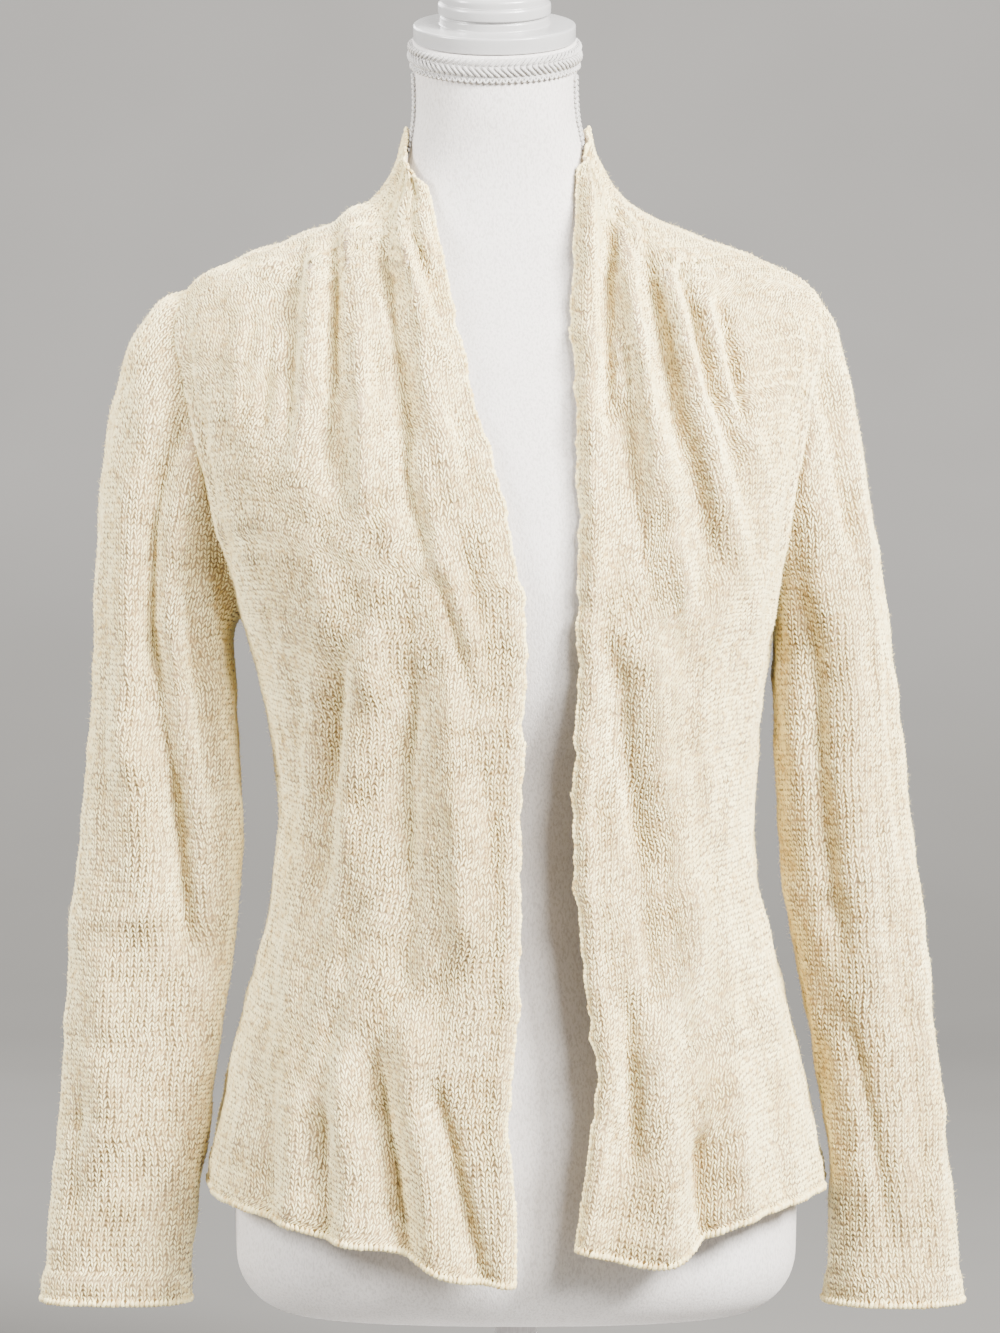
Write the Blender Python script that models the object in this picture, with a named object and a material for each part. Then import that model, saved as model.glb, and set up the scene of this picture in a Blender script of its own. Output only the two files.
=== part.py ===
"""Open-front knitted cardigan on a limbless dress form with a short round stand.

Sizes are in millimetres in the tables below and become metres in the meshes. +Z is up, +X is the wearer's
left, and the open front faces -Y. The origin is the middle of the base's underside.
"""

import math

import bmesh
import bpy
import numpy as np

MM = 0.001

# Cloth
WALL = 2.0
SEAM_GAP = 0.4
LEAST_CLEARANCE = 0.7
LEAST_TROUGH = 0.05

# Heights above the floor
BASE_HEIGHT = 12.0
FORM_BOTTOM = 104.0
SIDE_HEM = 184.0
HEM_LIFT_END = 430.0
UNDERARM = 520.0
SHOULDER_END = 717.0
NECK_SEAM = 767.0
COLLAR_TOP = 815.0
NECK_TOP = 867.0

# Form and stand
FORM_EDGE_RADIUS = 36.0
NECK_TILT = math.radians(20.0)
NECK_TILT_START = 795.0
NECK_TILT_END = 840.0
FIT_GAP = 0.3
CAP_RADIUS = 49.0
CAP_THICKNESS = 10.0
CAP_EDGE = 2.0
KNOB_RADIUS = 32.5
KNOB_HEIGHT = 21.0
KNOB_EDGE = 5.0
BRAID_HEIGHT = 15.0
BRAID_THICKNESS = 3.0
BRAID_ROUNDING = 0.3
SIDE_BRAID_WIDTH = 7.0
SIDE_BRAID_THICKNESS = 1.3
SIDE_BRAID_LOW = 776.0
SIDE_BRAID_TURN = {"right": math.radians(8.0), "left": math.radians(166.0)}
POST_RADIUS = 12.5
BASE_RADIUS = 150.0
BASE_EDGE = 3.0

# Armhole: half widths in front of and behind the side line, and the roundness of its outline
ARMHOLE_FRONT = 46.0
ARMHOLE_BACK = 42.0
ARMHOLE_ROUNDNESS = 2.2

# Numbers of faces
FRONT_COLUMNS = 30
FRONT_CROWDING = 0.8
BACK_COLUMNS = 18
FORM_SIDES = 32
SLEEVE_CAP_ROWS = 7
SLEEVE_ROWS = 12
SEAM_FADE_ROWS = 3
TURNED_SIDES = 32
FORM_BODY_ROWS = 16
FORM_EDGE_ROWS = 4

# Heights of the form's sections over the shoulders and up the neck
FORM_SHOULDER = 690.0
FORM_SHOULDER_LEVELS = (700, 709, 717, 725, 733, 742, 752, 763, 776, 790, 806, 825, 845)

# The form's level sections: middle, half width, depths before and behind the middle, and squareness
FORM_COLUMNS = ("z", "centre_x", "half_width", "centre_y", "front", "back", "squareness")
FORM_SECTIONS = (
    (104, 0, 166, 5, 98, 106, 2.3),
    (150, 0, 168, 5, 99, 110, 2.3),
    (195, 0, 168, 5, 97, 112, 2.3),
    (240, 0, 164, 5, 92, 108, 2.3),
    (290, 0, 152, 4, 85, 96, 2.2),
    (340, 0, 138, 3, 79, 82, 2.2),
    (385, 0, 132, 2, 77, 77, 2.2),
    (430, 0, 133, 2, 86, 80, 2.2),
    (480, -2, 140, 3, 106, 88, 2.3),
    (530, -5, 152, 4, 117, 94, 2.5),
    (575, -8, 163, 5, 112, 98, 2.8),
    (620, -9, 174, 8, 99, 100, 3.1),
    (660, -10, 183, 11, 86, 98, 3.2),
    (690, -10, 188, 14, 76, 92, 2.9),
    (708, -10, 187, 15, 69, 86, 2.5),
    (720, -11, 178, 16, 65, 80, 2.3),
    (733, -11, 154, 16, 61, 74, 2.1),
    (745, -11, 123, 16, 58, 69, 2.0),
    (756, -11, 95, 16, 55, 64, 2.0),
    (767, -11, 76, 16, 53, 60, 2.0),
    (780, -11, 63, 15, 51, 56, 2.0),
    (795, -11, 55, 14, 50, 53, 2.0),
    (815, -11.5, 50.5, 12, 49, 51, 2.0),
    (870, -13, 49.5, 9, 49, 50, 2.0),
)

# How far the cloth's inner face stands off the form at the side, the front and the back
EASE_COLUMNS = ("z", "side", "front", "back")
EASE_SECTIONS = (
    (104, 13, 30, 14),
    (195, 12, 32, 14),
    (250, 8, 36, 14),
    (310, 8, 42, 16),
    (385, 9, 44, 20),
    (430, 9, 36, 18),
    (480, 9, 18, 13),
    (530, 8, 9, 8),
    (575, 7, 8, 6),
    (620, 6, 9, 4),
    (660, 5, 9, 3),
    (690, 6, 9, 2.2),
    (717, 5, 9, 1.8),
    (733, 4.5, 9, 1.8),
    (756, 4, 8, 1.8),
    (767, 4, 7, 2.2),
    (795, 4, 5, 3),
    (815, 3.5, 4, 4),
    (870, 3.5, 4, 4),
)

# Where the two front edges hang, left to right as seen from the front
EDGE_COLUMNS = ("z", "right_front", "left_front")
EDGE_SECTIONS = (
    (130, -1, 29),
    (175, -1, 36),
    (230, -5, 43),
    (262, -3, 46),
    (300, 1, 41),
    (345, 1, 37),
    (400, 2, 33),
    (450, 3, 35),
    (500, 5, 36),
    (540, 1, 36),
    (590, -9, 36),
    (640, -23, 35),
    (690, -35, 33),
    (730, -43, 34),
    (767, -52, 37),
    (800, -62, 39),
    (815, -64, 39),
)

# How far the hem of each front hangs below the side hem, from its side seam (0) to its front edge (1)
HEM_COLUMNS = ("share", "right_front", "left_front")
HEM_SECTIONS = (
    (0.0, 0, 0),
    (0.2, 5, 3),
    (0.4, 10, 7),
    (0.55, 16, 11),
    (0.65, 22, 17),
    (0.72, 24, 24),
    (0.78, 26, 34),
    (0.84, 33, 35),
    (0.9, 41, 32),
    (1.0, 46, 25),
)

# The front edges end lower than the collar's top at the sides of the neck
NECK_DROP = {"right_front": 13.0, "left_front": 4.0}

# A fold starts this share of its length above its top, ends as far below its bottom, and fades over the next
FOLD_LEAD = 0.15
FOLD_FADE = 0.3

# Folds of the fronts, seen from the front: top and bottom, half width, height (troughs are negative)
FOLD_COLUMNS = ("x_top", "z_top", "x_bottom", "z_bottom", "half_width", "height")
FRONT_FOLDS = {
    "right_front": (
        (-134, 705, -130, 615, 8, -3.0),
        (-118, 722, -126, 605, 9, 3.5),
        (-107, 722, -110, 600, 7, -4.0),
        (-96, 745, -85, 575, 9, 5.0),
        (-83, 752, -65, 620, 7, -5.0),
        (-67, 738, -32, 575, 10, 4.5),
        (-50, 706, -27, 625, 6, -3.0),
        (-101, 482, -114, 357, 9, -5.0),
        (-90, 500, -96, 357, 12, 6.0),
        (-62, 478, -66, 300, 10, -8.0),
        (-40, 472, -27, 322, 12, 6.0),
        (-98, 266, -91, 150, 13, 8.0),
        (-82, 266, -63, 152, 9, -9.0),
        (-61, 284, -42, 138, 12, 8.0),
        (-48, 250, -20, 140, 8, -8.0),
        (-110, 230, -108, 158, 7, -5.0),
        (-145, 250, -143, 170, 9, -4.0),
        (-128, 250, -127, 165, 10, 5.0),
    ),
    "left_front": (
        (43, 765, 44, 530, 8, 3.0),
        (56, 752, 52, 632, 6, -5.5),
        (64, 738, 79, 585, 9, 5.0),
        (75, 722, 93, 625, 7, -5.0),
        (87, 716, 118, 562, 9, 4.5),
        (97, 705, 114, 636, 6, -4.0),
        (109, 700, 131, 608, 8, 3.5),
        (120, 690, 131, 630, 6, -3.0),
        (59, 494, 70, 385, 9, -7.0),
        (76, 505, 99, 322, 13, 6.0),
        (63, 300, 67, 208, 8, -6.0),
        (79, 288, 84, 148, 14, 9.0),
        (104, 220, 107, 160, 6, -9.0),
        (47, 277, 42, 155, 10, 5.0),
        (125, 255, 130, 168, 11, 5.0),
        (147, 250, 155, 176, 8, -3.0),
    ),
}

# Soft folds down the back, hidden in the photograph and kept alike in size
BACK_FOLDS = (
    (-105, 300, -112, 170, 14, 6.0),
    (-72, 330, -70, 170, 12, -7.0),
    (-35, 380, -30, 170, 16, 7.0),
    (8, 350, 12, 170, 12, -6.0),
    (48, 380, 55, 170, 15, 7.0),
    (88, 320, 95, 170, 13, -7.0),
    (122, 290, 128, 170, 14, 6.0),
    (-62, 480, -50, 360, 16, 5.0),
    (58, 480, 48, 360, 16, 5.0),
)

# Level sections of the hanging sleeves: outer and inner edge, middle and half depth front to back
SLEEVE_COLUMNS = ("z", "outer", "inner", "centre_y", "half_depth")
SLEEVE_SECTIONS = {
    "right": (
        (108, -282, -197, -6, 21),
        (145, -280, -195, -6, 22),
        (200, -274, -188, -5, 25),
        (260, -270, -178, -4, 28),
        (330, -266, -169, -2, 32),
        (400, -259, -165, 0, 36),
        (450, -255, -168, 2, 39),
        (500, -252, -171, 4, 42),
    ),
    "left": (
        (108, 264, 187, -8, 25),
        (145, 263, 188, -8, 25),
        (200, 257, 187, -7, 27),
        (260, 251, 179.5, -5, 30),
        (330, 244, 166, -3, 34),
        (400, 236, 157.5, 0, 38),
        (450, 230, 155.5, 2, 41),
        (500, 224, 156, 4, 43),
    ),
}
SLEEVE_SQUARENESS = 2.3
SLEEVE_CAP_END = 500.0
SLEEVE_CUFF = 112.0

# How far each sleeve's edge lies outside the armhole's edge, both along the middle of the cloth
SLEEVE_SEAT = {"right": 1.4, "left": 2.2}

# How far the top of each sleeve drops at the shoulder end, and how far it springs out there
CAP_DROP = 6.0
CAP_SPRING = {"right": 1.0, "left": 0.45}

# Folds of the sleeves: angle from the outer side towards the front, heights, half widths and height
SLEEVE_FOLD_COLUMNS = ("turn_top", "z_top", "turn_bottom", "z_bottom", "half_width", "height")
SLEEVE_FOLDS = {
    "right": (
        (58, 690, 52, 560, 13, -6.0),
        (92, 700, 84, 520, 16, 4.0),
        (95, 420, 128, 315, 16, -5.0),
        (70, 450, 92, 330, 16, 4.0),
        (60, 320, 75, 200, 18, 4.0),
        (230, 650, 245, 480, 18, -5.0),
        (285, 480, 270, 300, 20, 4.0),
    ),
    "left": (
        (62, 690, 66, 560, 13, -5.0),
        (95, 690, 98, 520, 16, 4.0),
        (78, 540, 86, 300, 15, 4.0),
        (112, 520, 108, 330, 14, -5.0),
        (58, 330, 66, 150, 16, -4.0),
        (228, 650, 240, 480, 18, -5.0),
        (280, 470, 268, 280, 20, 4.0),
    ),
}

# Bands of rows up the body: from, to and number of rows
ROW_BANDS = (
    (SIDE_HEM, HEM_LIFT_END, 10),
    (HEM_LIFT_END, UNDERARM, 4),
)
ARMHOLE_ROWS = 10
SHOULDER_ROWS = 4
COLLAR_ROWS = 4

# Colour, roughness and metallic share of each finish
FINISHES = {
    "knit": ((0.82, 0.74, 0.60), 0.95, 0.0),
    "cover": ((0.74, 0.72, 0.70), 0.9, 0.0),
    "cap": ((0.86, 0.86, 0.85), 0.3, 0.0),
    "braid": ((0.80, 0.77, 0.72), 0.85, 0.0),
    "steel": ((0.55, 0.55, 0.56), 0.35, 1.0),
    "base": ((0.62, 0.62, 0.62), 0.5, 0.0),
}
SMOOTH_ANGLE = math.radians(40.0)


def column(table, columns, name, at):
    """A smooth curve through one column of a table, with slopes taken from the neighbouring rows."""
    rows = np.array(table, float)
    known = rows[:, 0]
    values = rows[:, columns.index(name)]
    slopes = np.gradient(values, known)
    at = np.clip(np.asarray(at, float), known[0], known[-1])
    low = np.clip(np.searchsorted(known, at, side="right") - 1, 0, len(known) - 2)
    span = known[low + 1] - known[low]
    u = (at - known[low]) / span
    start = (1 + 2 * u) * (1 - u) ** 2 * values[low] + u * (1 - u) ** 2 * slopes[low] * span
    end = u * u * (3 - 2 * u) * values[low + 1] + u * u * (u - 1) * slopes[low + 1] * span
    return start + end


def form_size(name, z):
    return column(FORM_SECTIONS, FORM_COLUMNS, name, z)


def ease(name, z):
    return column(EASE_SECTIONS, EASE_COLUMNS, name, z)


def smoothstep(u):
    u = np.clip(u, 0.0, 1.0)
    return u * u * (3 - 2 * u)


def bent(value, power):
    return np.sign(value) * np.abs(value) ** power


def row_levels():
    """Heights of the rows along the side seam, the armhole, the shoulder line and the side of the neck."""
    levels = [SIDE_HEM]
    for low, high, count in ROW_BANDS:
        levels += list(np.linspace(low, high, count + 1)[1:])
    turn = np.linspace(0, math.pi, ARMHOLE_ROWS + 1)[1:]
    levels += list(UNDERARM + (SHOULDER_END - UNDERARM) * (1 - np.cos(turn)) / 2)
    levels += list(np.linspace(SHOULDER_END, NECK_SEAM, SHOULDER_ROWS + 1)[1:])
    levels += list(np.linspace(NECK_SEAM, COLLAR_TOP, COLLAR_ROWS + 1)[1:])
    return np.array(levels)


def armhole(z, half_width):
    """Distance of a panel's edge from the side line: half a seam, or the round outline of the armhole."""
    rise = np.clip((z - UNDERARM) / (SHOULDER_END - UNDERARM), 0, 1)
    outline = (1 - np.abs(2 * rise - 1) ** ARMHOLE_ROUNDNESS) ** (1 / ARMHOLE_ROUNDNESS)
    return np.maximum(SEAM_GAP / 2, half_width * outline)


def body_sizes(z, face):
    """Half width and depth of the cloth's middle surface, and its squareness, at a height."""
    half_width = form_size("half_width", z) + ease("side", z) + WALL / 2
    depth = form_size(face, z) + ease(face, z) + WALL / 2
    return half_width, depth, form_size("squareness", z)


def body_point(z, turn, face):
    """Cloth at a height and an angle from the wearer's right side line (0) to the left one (pi)."""
    half_width, depth, squareness = body_sizes(z, face)
    sign = -1 if face == "front" else 1
    x = form_size("centre_x", z) - half_width * bent(np.cos(turn), 2 / squareness)
    y = form_size("centre_y", z) + sign * depth * bent(np.sin(turn), 2 / squareness)
    return np.stack([x, y, z], axis=-1)


def turn_at_side(z, offset, face):
    """Angle at which the cloth lies this far before or behind the side line."""
    depth, squareness = body_sizes(z, face)[1:]
    return np.arcsin((offset / depth) ** (squareness / 2))


def turn_at_x(z, x):
    """Angle at which the front of the cloth passes x."""
    half_width, _, squareness = body_sizes(z, "front")
    share = np.clip((form_size("centre_x", z) - x) / half_width, -1, 1)
    return np.arccos(bent(share, squareness / 2))


def normals(points, closed):
    """Outward unit normals of a grid, columns to the right and rows upwards as seen from outside."""
    if closed:
        along = np.roll(points, -1, axis=1) - np.roll(points, 1, axis=1)
    else:
        along = np.gradient(points, axis=1)
    up = np.gradient(points, axis=0)
    across = np.cross(along, up)
    return across / np.linalg.norm(across, axis=-1, keepdims=True)


def fold_height(folds, columns, across, z):
    """Sum of soft ridges and troughs, each along a straight line with faded ends."""
    total = np.zeros_like(z)
    for row in folds:
        fold = dict(zip(columns, row))
        first, z_top, last, z_bottom, half_width, height = (fold[name] for name in columns)
        down = (z_top - z) / (z_top - z_bottom)
        line = first + (last - first) * np.clip(down, 0, 1)
        fade = smoothstep((down + FOLD_LEAD) / FOLD_FADE) * smoothstep((1 + FOLD_LEAD - down) / FOLD_FADE)
        total += height * fade * np.exp(-(((across - line) / half_width) ** 2))
    return total


def held_off(height, room):
    """Troughs limited to the room that the cloth has over the form."""
    depth = np.maximum(room - LEAST_CLEARANCE, LEAST_TROUGH)
    return np.where(height < 0, -depth * np.tanh(-height / depth), height)


def front_grid(panel):
    """Middle surface of one front, from its side to its front edge, hem to neck."""
    levels = row_levels()[:, None]
    share = np.linspace(0, 1, FRONT_COLUMNS + 1)[None, :] ** FRONT_CROWDING
    drop = column(HEM_SECTIONS, HEM_COLUMNS, panel, share)
    hem_pull = 1 - smoothstep((levels - SIDE_HEM) / (HEM_LIFT_END - SIDE_HEM))
    neck_pull = smoothstep((levels - NECK_SEAM) / (COLLAR_TOP - NECK_SEAM))
    z = levels - drop * hem_pull - NECK_DROP[panel] * share * neck_pull
    side = turn_at_side(z, armhole(levels + 0 * z, ARMHOLE_FRONT), "front")
    edge = turn_at_x(z, column(EDGE_SECTIONS, EDGE_COLUMNS, panel, z))
    if panel == "left_front":
        side = math.pi - side
    turn = side + (edge - side) * share
    points = body_point(z, turn, "front")
    if panel == "left_front":
        points = points[:, ::-1]
        turn = turn[:, ::-1]
        z = z[:, ::-1]
    room = ease("side", z) * np.cos(turn) ** 2 + ease("front", z) * np.sin(turn) ** 2
    height = fold_height(FRONT_FOLDS[panel], FOLD_COLUMNS, points[..., 0], z)
    return points + held_off(height, room)[..., None] * normals(points, False)


def back_grid():
    """Middle surface of the back, from the wearer's left side to the right one, hem to neck seam."""
    levels = row_levels()
    levels = levels[levels < NECK_SEAM + SEAM_GAP][:, None]
    share = np.linspace(0, 1, BACK_COLUMNS + 1)[None, :]
    z = levels + 0 * share
    side = turn_at_side(z, armhole(z, ARMHOLE_BACK), "back")
    turn = math.pi - side - (math.pi - 2 * side) * share
    points = body_point(z, turn, "back")
    room = ease("side", z) * np.cos(turn) ** 2 + ease("back", z) * np.sin(turn) ** 2
    height = fold_height(BACK_FOLDS, FOLD_COLUMNS, points[..., 0], z)
    return points + held_off(height, room)[..., None] * normals(points, False)


def collar_grid():
    """Middle surface of the collar, round the back of the neck from the left side to the right one."""
    levels = np.linspace(NECK_SEAM, COLLAR_TOP, COLLAR_ROWS + 1)[:, None]
    share = np.linspace(0, 1, BACK_COLUMNS + 1)[None, :]
    z = levels + SEAM_GAP * (levels == NECK_SEAM) + 0 * share
    side = turn_at_side(z, SEAM_GAP / 2 + 0 * z, "back")
    turn = math.pi - side - (math.pi - 2 * side) * share
    return body_point(z, turn, "back")


def armhole_ring(side):
    """Edge of the armhole: down its front from the shoulder end, and up its back."""
    levels = row_levels()
    levels = levels[(levels > UNDERARM - SEAM_GAP) & (levels < SHOULDER_END + SEAM_GAP)]
    front = turn_at_side(levels, armhole(levels, ARMHOLE_FRONT), "front")
    back = turn_at_side(levels, armhole(levels, ARMHOLE_BACK), "back")
    ring = np.concatenate(
        [
            body_point(levels, front, "front")[::-1],
            body_point(levels, back, "back")[1:-1],
        ]
    )
    if side == "left":
        middle = form_size("centre_x", ring[:, 2])
        ring[:, 0] = 2 * middle - ring[:, 0]
    return ring


def sleeve_grid(side):
    """Middle surface of a sleeve: a cap swept out from the armhole, then level sections down to the cuff."""
    outward = -1 if side == "right" else 1
    table = SLEEVE_SECTIONS[side]
    ring = armhole_ring(side)
    ring[:, 0] += outward * SLEEVE_SEAT[side]
    count = len(ring)
    lowest = int(np.argmin(ring[:, 2]))
    half_turn = np.arccos(np.clip(2 * (ring[:, 2] - UNDERARM) / (SHOULDER_END - UNDERARM) - 1, -1, 1))
    turn = np.where(np.arange(count) <= lowest, half_turn, 2 * math.pi - half_turn)

    def section(z):
        outer = column(table, SLEEVE_COLUMNS, "outer", z)
        inner = column(table, SLEEVE_COLUMNS, "inner", z)
        half = (outer - inner) / 2
        depth = column(table, SLEEVE_COLUMNS, "half_depth", z)
        x = (outer + inner) / 2 + half * bent(np.cos(turn), 2 / SLEEVE_SQUARENESS)
        y = column(table, SLEEVE_COLUMNS, "centre_y", z) - depth * bent(np.sin(turn), 2 / SLEEVE_SQUARENESS)
        return np.stack([x, y, z + 0 * turn], axis=-1)

    first = section(SLEEVE_CAP_END)
    spring = ring[:, 0] + CAP_SPRING[side] * (first[:, 0] - ring[:, 0])
    drop = CAP_DROP * (1 + np.cos(turn)) / 2
    elbow = np.stack([spring, (ring[:, 1] + first[:, 1]) / 2, ring[:, 2] - drop], axis=-1)
    rows = []
    for u in np.linspace(0, 1, SLEEVE_CAP_ROWS + 1):
        rows.append((1 - u) ** 2 * ring + 2 * u * (1 - u) * elbow + u * u * first)
    for z in np.linspace(SLEEVE_CAP_END, SLEEVE_CUFF, SLEEVE_ROWS + 1)[1:]:
        rows.append(section(z))
    points = np.array(rows)[::-1]
    around = np.broadcast_to(np.degrees(turn), points.shape[:2])
    if side == "left":
        points = points[:, ::-1]
        around = around[:, ::-1]
    height = fold_height(SLEEVE_FOLDS[side], SLEEVE_FOLD_COLUMNS, around, points[..., 2])
    seam_fade = smoothstep(np.arange(len(points))[::-1] / SEAM_FADE_ROWS)[:, None]
    return points + (height * seam_fade)[..., None] * normals(points, True)


def material(name):
    made = bpy.data.materials.get(name)
    if made is None:
        colour, roughness, metallic = FINISHES[name]
        made = bpy.data.materials.new(name)
        made.use_nodes = True
        shader = made.node_tree.nodes["Principled BSDF"]
        shader.inputs["Base Color"].default_value = (*colour, 1.0)
        shader.inputs["Roughness"].default_value = roughness
        shader.inputs["Metallic"].default_value = metallic
    return made


def add_object(name, points, faces, finish):
    """One object from points in millimetres, with its faces turned outwards."""
    mesh = bpy.data.meshes.new(name)
    mesh.from_pydata((np.asarray(points) * MM).tolist(), [], faces)
    mesh.materials.append(material(finish))
    shaper = bmesh.new()
    shaper.from_mesh(mesh)
    bmesh.ops.recalc_face_normals(shaper, faces=shaper.faces)
    shaper.to_mesh(mesh)
    shaper.free()
    mesh.shade_smooth()
    mesh.set_sharp_from_angle(angle=SMOOTH_ANGLE)
    made = bpy.data.objects.new(name, mesh)
    bpy.context.scene.collection.objects.link(made)
    return made


def grid_faces(rows, columns, closed, start=0):
    """Quads of a grid, numbered row by row, with its columns joined round where it is closed."""
    faces = []
    for i in range(rows - 1):
        for j in range(columns if closed else columns - 1):
            k = (j + 1) % columns
            low, high = start + i * columns, start + (i + 1) * columns
            faces.append((low + j, low + k, high + k, high + j))
    return faces


def cloth(name, middle, closed=False):
    """A wall of cloth: two skins half a wall from the middle surface, joined along every free edge."""
    rows, columns = middle.shape[:2]
    shift = normals(middle, closed) * WALL / 2
    points = np.concatenate([(middle + shift).reshape(-1, 3), (middle - shift).reshape(-1, 3)])
    inner = rows * columns
    faces = grid_faces(rows, columns, closed)
    faces += [face[::-1] for face in grid_faces(rows, columns, closed, inner)]
    top = (rows - 1) * columns
    for j in range(columns if closed else columns - 1):
        k = (j + 1) % columns
        faces.append((j, inner + j, inner + k, k))
        faces.append((top + j, top + k, inner + top + k, inner + top + j))
    if not closed:
        right = columns - 1
        for i in range(rows - 1):
            low, high = i * columns, (i + 1) * columns
            faces.append((low, high, inner + high, inner + low))
            faces.append((low + right, inner + low + right, inner + high + right, high + right))
    return add_object(name, points, faces, "knit")


def form_ring(z, turn, offset=0.0):
    """Points of the form's cover at a height and angles all round, moved out by an offset."""
    squareness = form_size("squareness", z)
    half_width = form_size("half_width", z) + offset
    front_depth = form_size("front", z) + offset
    back_depth = form_size("back", z) + offset
    depth = np.where(np.sin(turn) > 0, front_depth, back_depth)
    x = -half_width * bent(np.cos(turn), 2 / squareness)
    y = -depth * bent(np.sin(turn), 2 / squareness)
    tilt = smoothstep((z - NECK_TILT_START) / (NECK_TILT_END - NECK_TILT_START))
    rise = math.tan(NECK_TILT) * y * tilt
    return np.stack([x + form_size("centre_x", z), y + form_size("centre_y", z), z + rise], axis=-1)


def capped_loft(rings):
    """Points and faces of a closed solid through rings of the same number of points."""
    rows, columns = rings.shape[:2]
    points = np.concatenate([rings.reshape(-1, 3), rings[0].mean(axis=0)[None], rings[-1].mean(axis=0)[None]])
    faces = grid_faces(rows, columns, True)
    for j in range(columns):
        k = (j + 1) % columns
        faces.append((k, j, rows * columns))
        faces.append(((rows - 1) * columns + j, (rows - 1) * columns + k, rows * columns + 1))
    return points, faces


def form_torso():
    """The covered form: a rounded bottom edge, the torso's sections and the tilted neck."""
    turn = np.linspace(0, 2 * math.pi, FORM_SIDES, endpoint=False)
    rings = []
    for angle in np.linspace(0, math.pi / 2, FORM_EDGE_ROWS, endpoint=False):
        height = FORM_BOTTOM + FORM_EDGE_RADIUS * (1 - math.cos(angle))
        inset = FORM_EDGE_RADIUS * (1 - math.sin(angle))
        rings.append(form_ring(height, turn, -inset))
    body = np.linspace(FORM_BOTTOM + FORM_EDGE_RADIUS, FORM_SHOULDER, FORM_BODY_ROWS)
    for height in (*body, *FORM_SHOULDER_LEVELS, NECK_TOP):
        rings.append(form_ring(height, turn))
    points, faces = capped_loft(np.array(rings))
    return add_object("form_torso", points, faces, "cover")


def turned(name, profile, finish, tilt=0.0, centre=(0.0, 0.0, 0.0)):
    """A solid turned round its own upright axis from (radius, height) corners, then tilted and placed."""
    turn = np.linspace(0, 2 * math.pi, TURNED_SIDES, endpoint=False)
    rings = []
    for radius, height in profile:
        ring = np.stack([radius * np.cos(turn), radius * np.sin(turn), height + 0 * turn], axis=-1)
        rings.append(ring)
    points, faces = capped_loft(np.array(rings))
    made = add_object(name, points, faces, finish)
    made.rotation_euler = (tilt, 0.0, 0.0)
    made.location = tuple(value * MM for value in centre)
    return made


def neck_cap():
    """Moulded cap on the tilted neck: a flat disc with rounded edges and a knob that steps in."""
    knob_top = CAP_THICKNESS + KNOB_HEIGHT
    knob_bend = KNOB_EDGE * (1 - math.cos(math.pi / 4))
    profile = (
        (CAP_RADIUS - CAP_EDGE, 0),
        (CAP_RADIUS, CAP_EDGE),
        (CAP_RADIUS, CAP_THICKNESS - CAP_EDGE),
        (CAP_RADIUS - CAP_EDGE, CAP_THICKNESS),
        (KNOB_RADIUS, CAP_THICKNESS),
        (KNOB_RADIUS, knob_top - KNOB_EDGE),
        (KNOB_RADIUS - knob_bend, knob_top - knob_bend),
        (KNOB_RADIUS - KNOB_EDGE, knob_top),
    )
    middle = [float(form_size(name, NECK_TOP)) for name in ("centre_x", "centre_y")]
    centre = (*middle, NECK_TOP + FIT_GAP)
    return turned("neck_cap", profile, "cap", NECK_TILT, centre)


def neck_braid():
    """Braid band round the top of the neck, made from the cover's points moved out."""
    turn = np.linspace(0, 2 * math.pi, FORM_SIDES, endpoint=False)
    low = NECK_TOP - FIT_GAP - BRAID_HEIGHT
    outer = FIT_GAP + BRAID_THICKNESS
    shoulder = outer - BRAID_ROUNDING * BRAID_THICKNESS
    profile = (
        (FIT_GAP, 0.0),
        (shoulder, 0.0),
        (outer, BRAID_ROUNDING),
        (outer, 1.0 - BRAID_ROUNDING),
        (shoulder, 1.0),
        (FIT_GAP, 1.0),
    )
    rings = [form_ring(low + share * BRAID_HEIGHT, turn, offset) for offset, share in profile]
    rings = np.array(rings + rings[:1])
    count = len(profile)
    points = rings[:count].reshape(-1, 3)
    faces = [tuple(k % len(points) for k in face) for face in grid_faces(count + 1, FORM_SIDES, True)]
    return add_object("neck_braid", points, faces, "braid")


def side_braid(name, middle_turn):
    """A narrow braid down the side of the neck, made from the cover's points moved out."""
    levels = [z for z in FORM_SHOULDER_LEVELS if z >= SIDE_BRAID_LOW]
    levels.append(NECK_TOP - BRAID_HEIGHT - 3 * FIT_GAP)
    half_turn = SIDE_BRAID_WIDTH / 2 / float(form_size("half_width", NECK_TOP))
    turn = middle_turn + np.array([-half_turn, 0.0, half_turn])
    rings = []
    for z in levels:
        inner = form_ring(z, turn, FIT_GAP)
        outer = form_ring(z, turn, FIT_GAP + SIDE_BRAID_THICKNESS)
        rings.append(np.concatenate([inner, outer[::-1]]))
    points, faces = capped_loft(np.array(rings))
    return add_object(name, points, faces, "braid")


def stand():
    """A straight post under the form and a heavy round base with eased edges."""
    post = ((POST_RADIUS, BASE_HEIGHT + FIT_GAP), (POST_RADIUS, FORM_BOTTOM - FIT_GAP))
    turned("post", post, "steel")
    base = (
        (BASE_RADIUS, 0.0),
        (BASE_RADIUS, BASE_HEIGHT - BASE_EDGE),
        (BASE_RADIUS - BASE_EDGE, BASE_HEIGHT),
    )
    turned("base", base, "base")


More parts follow.
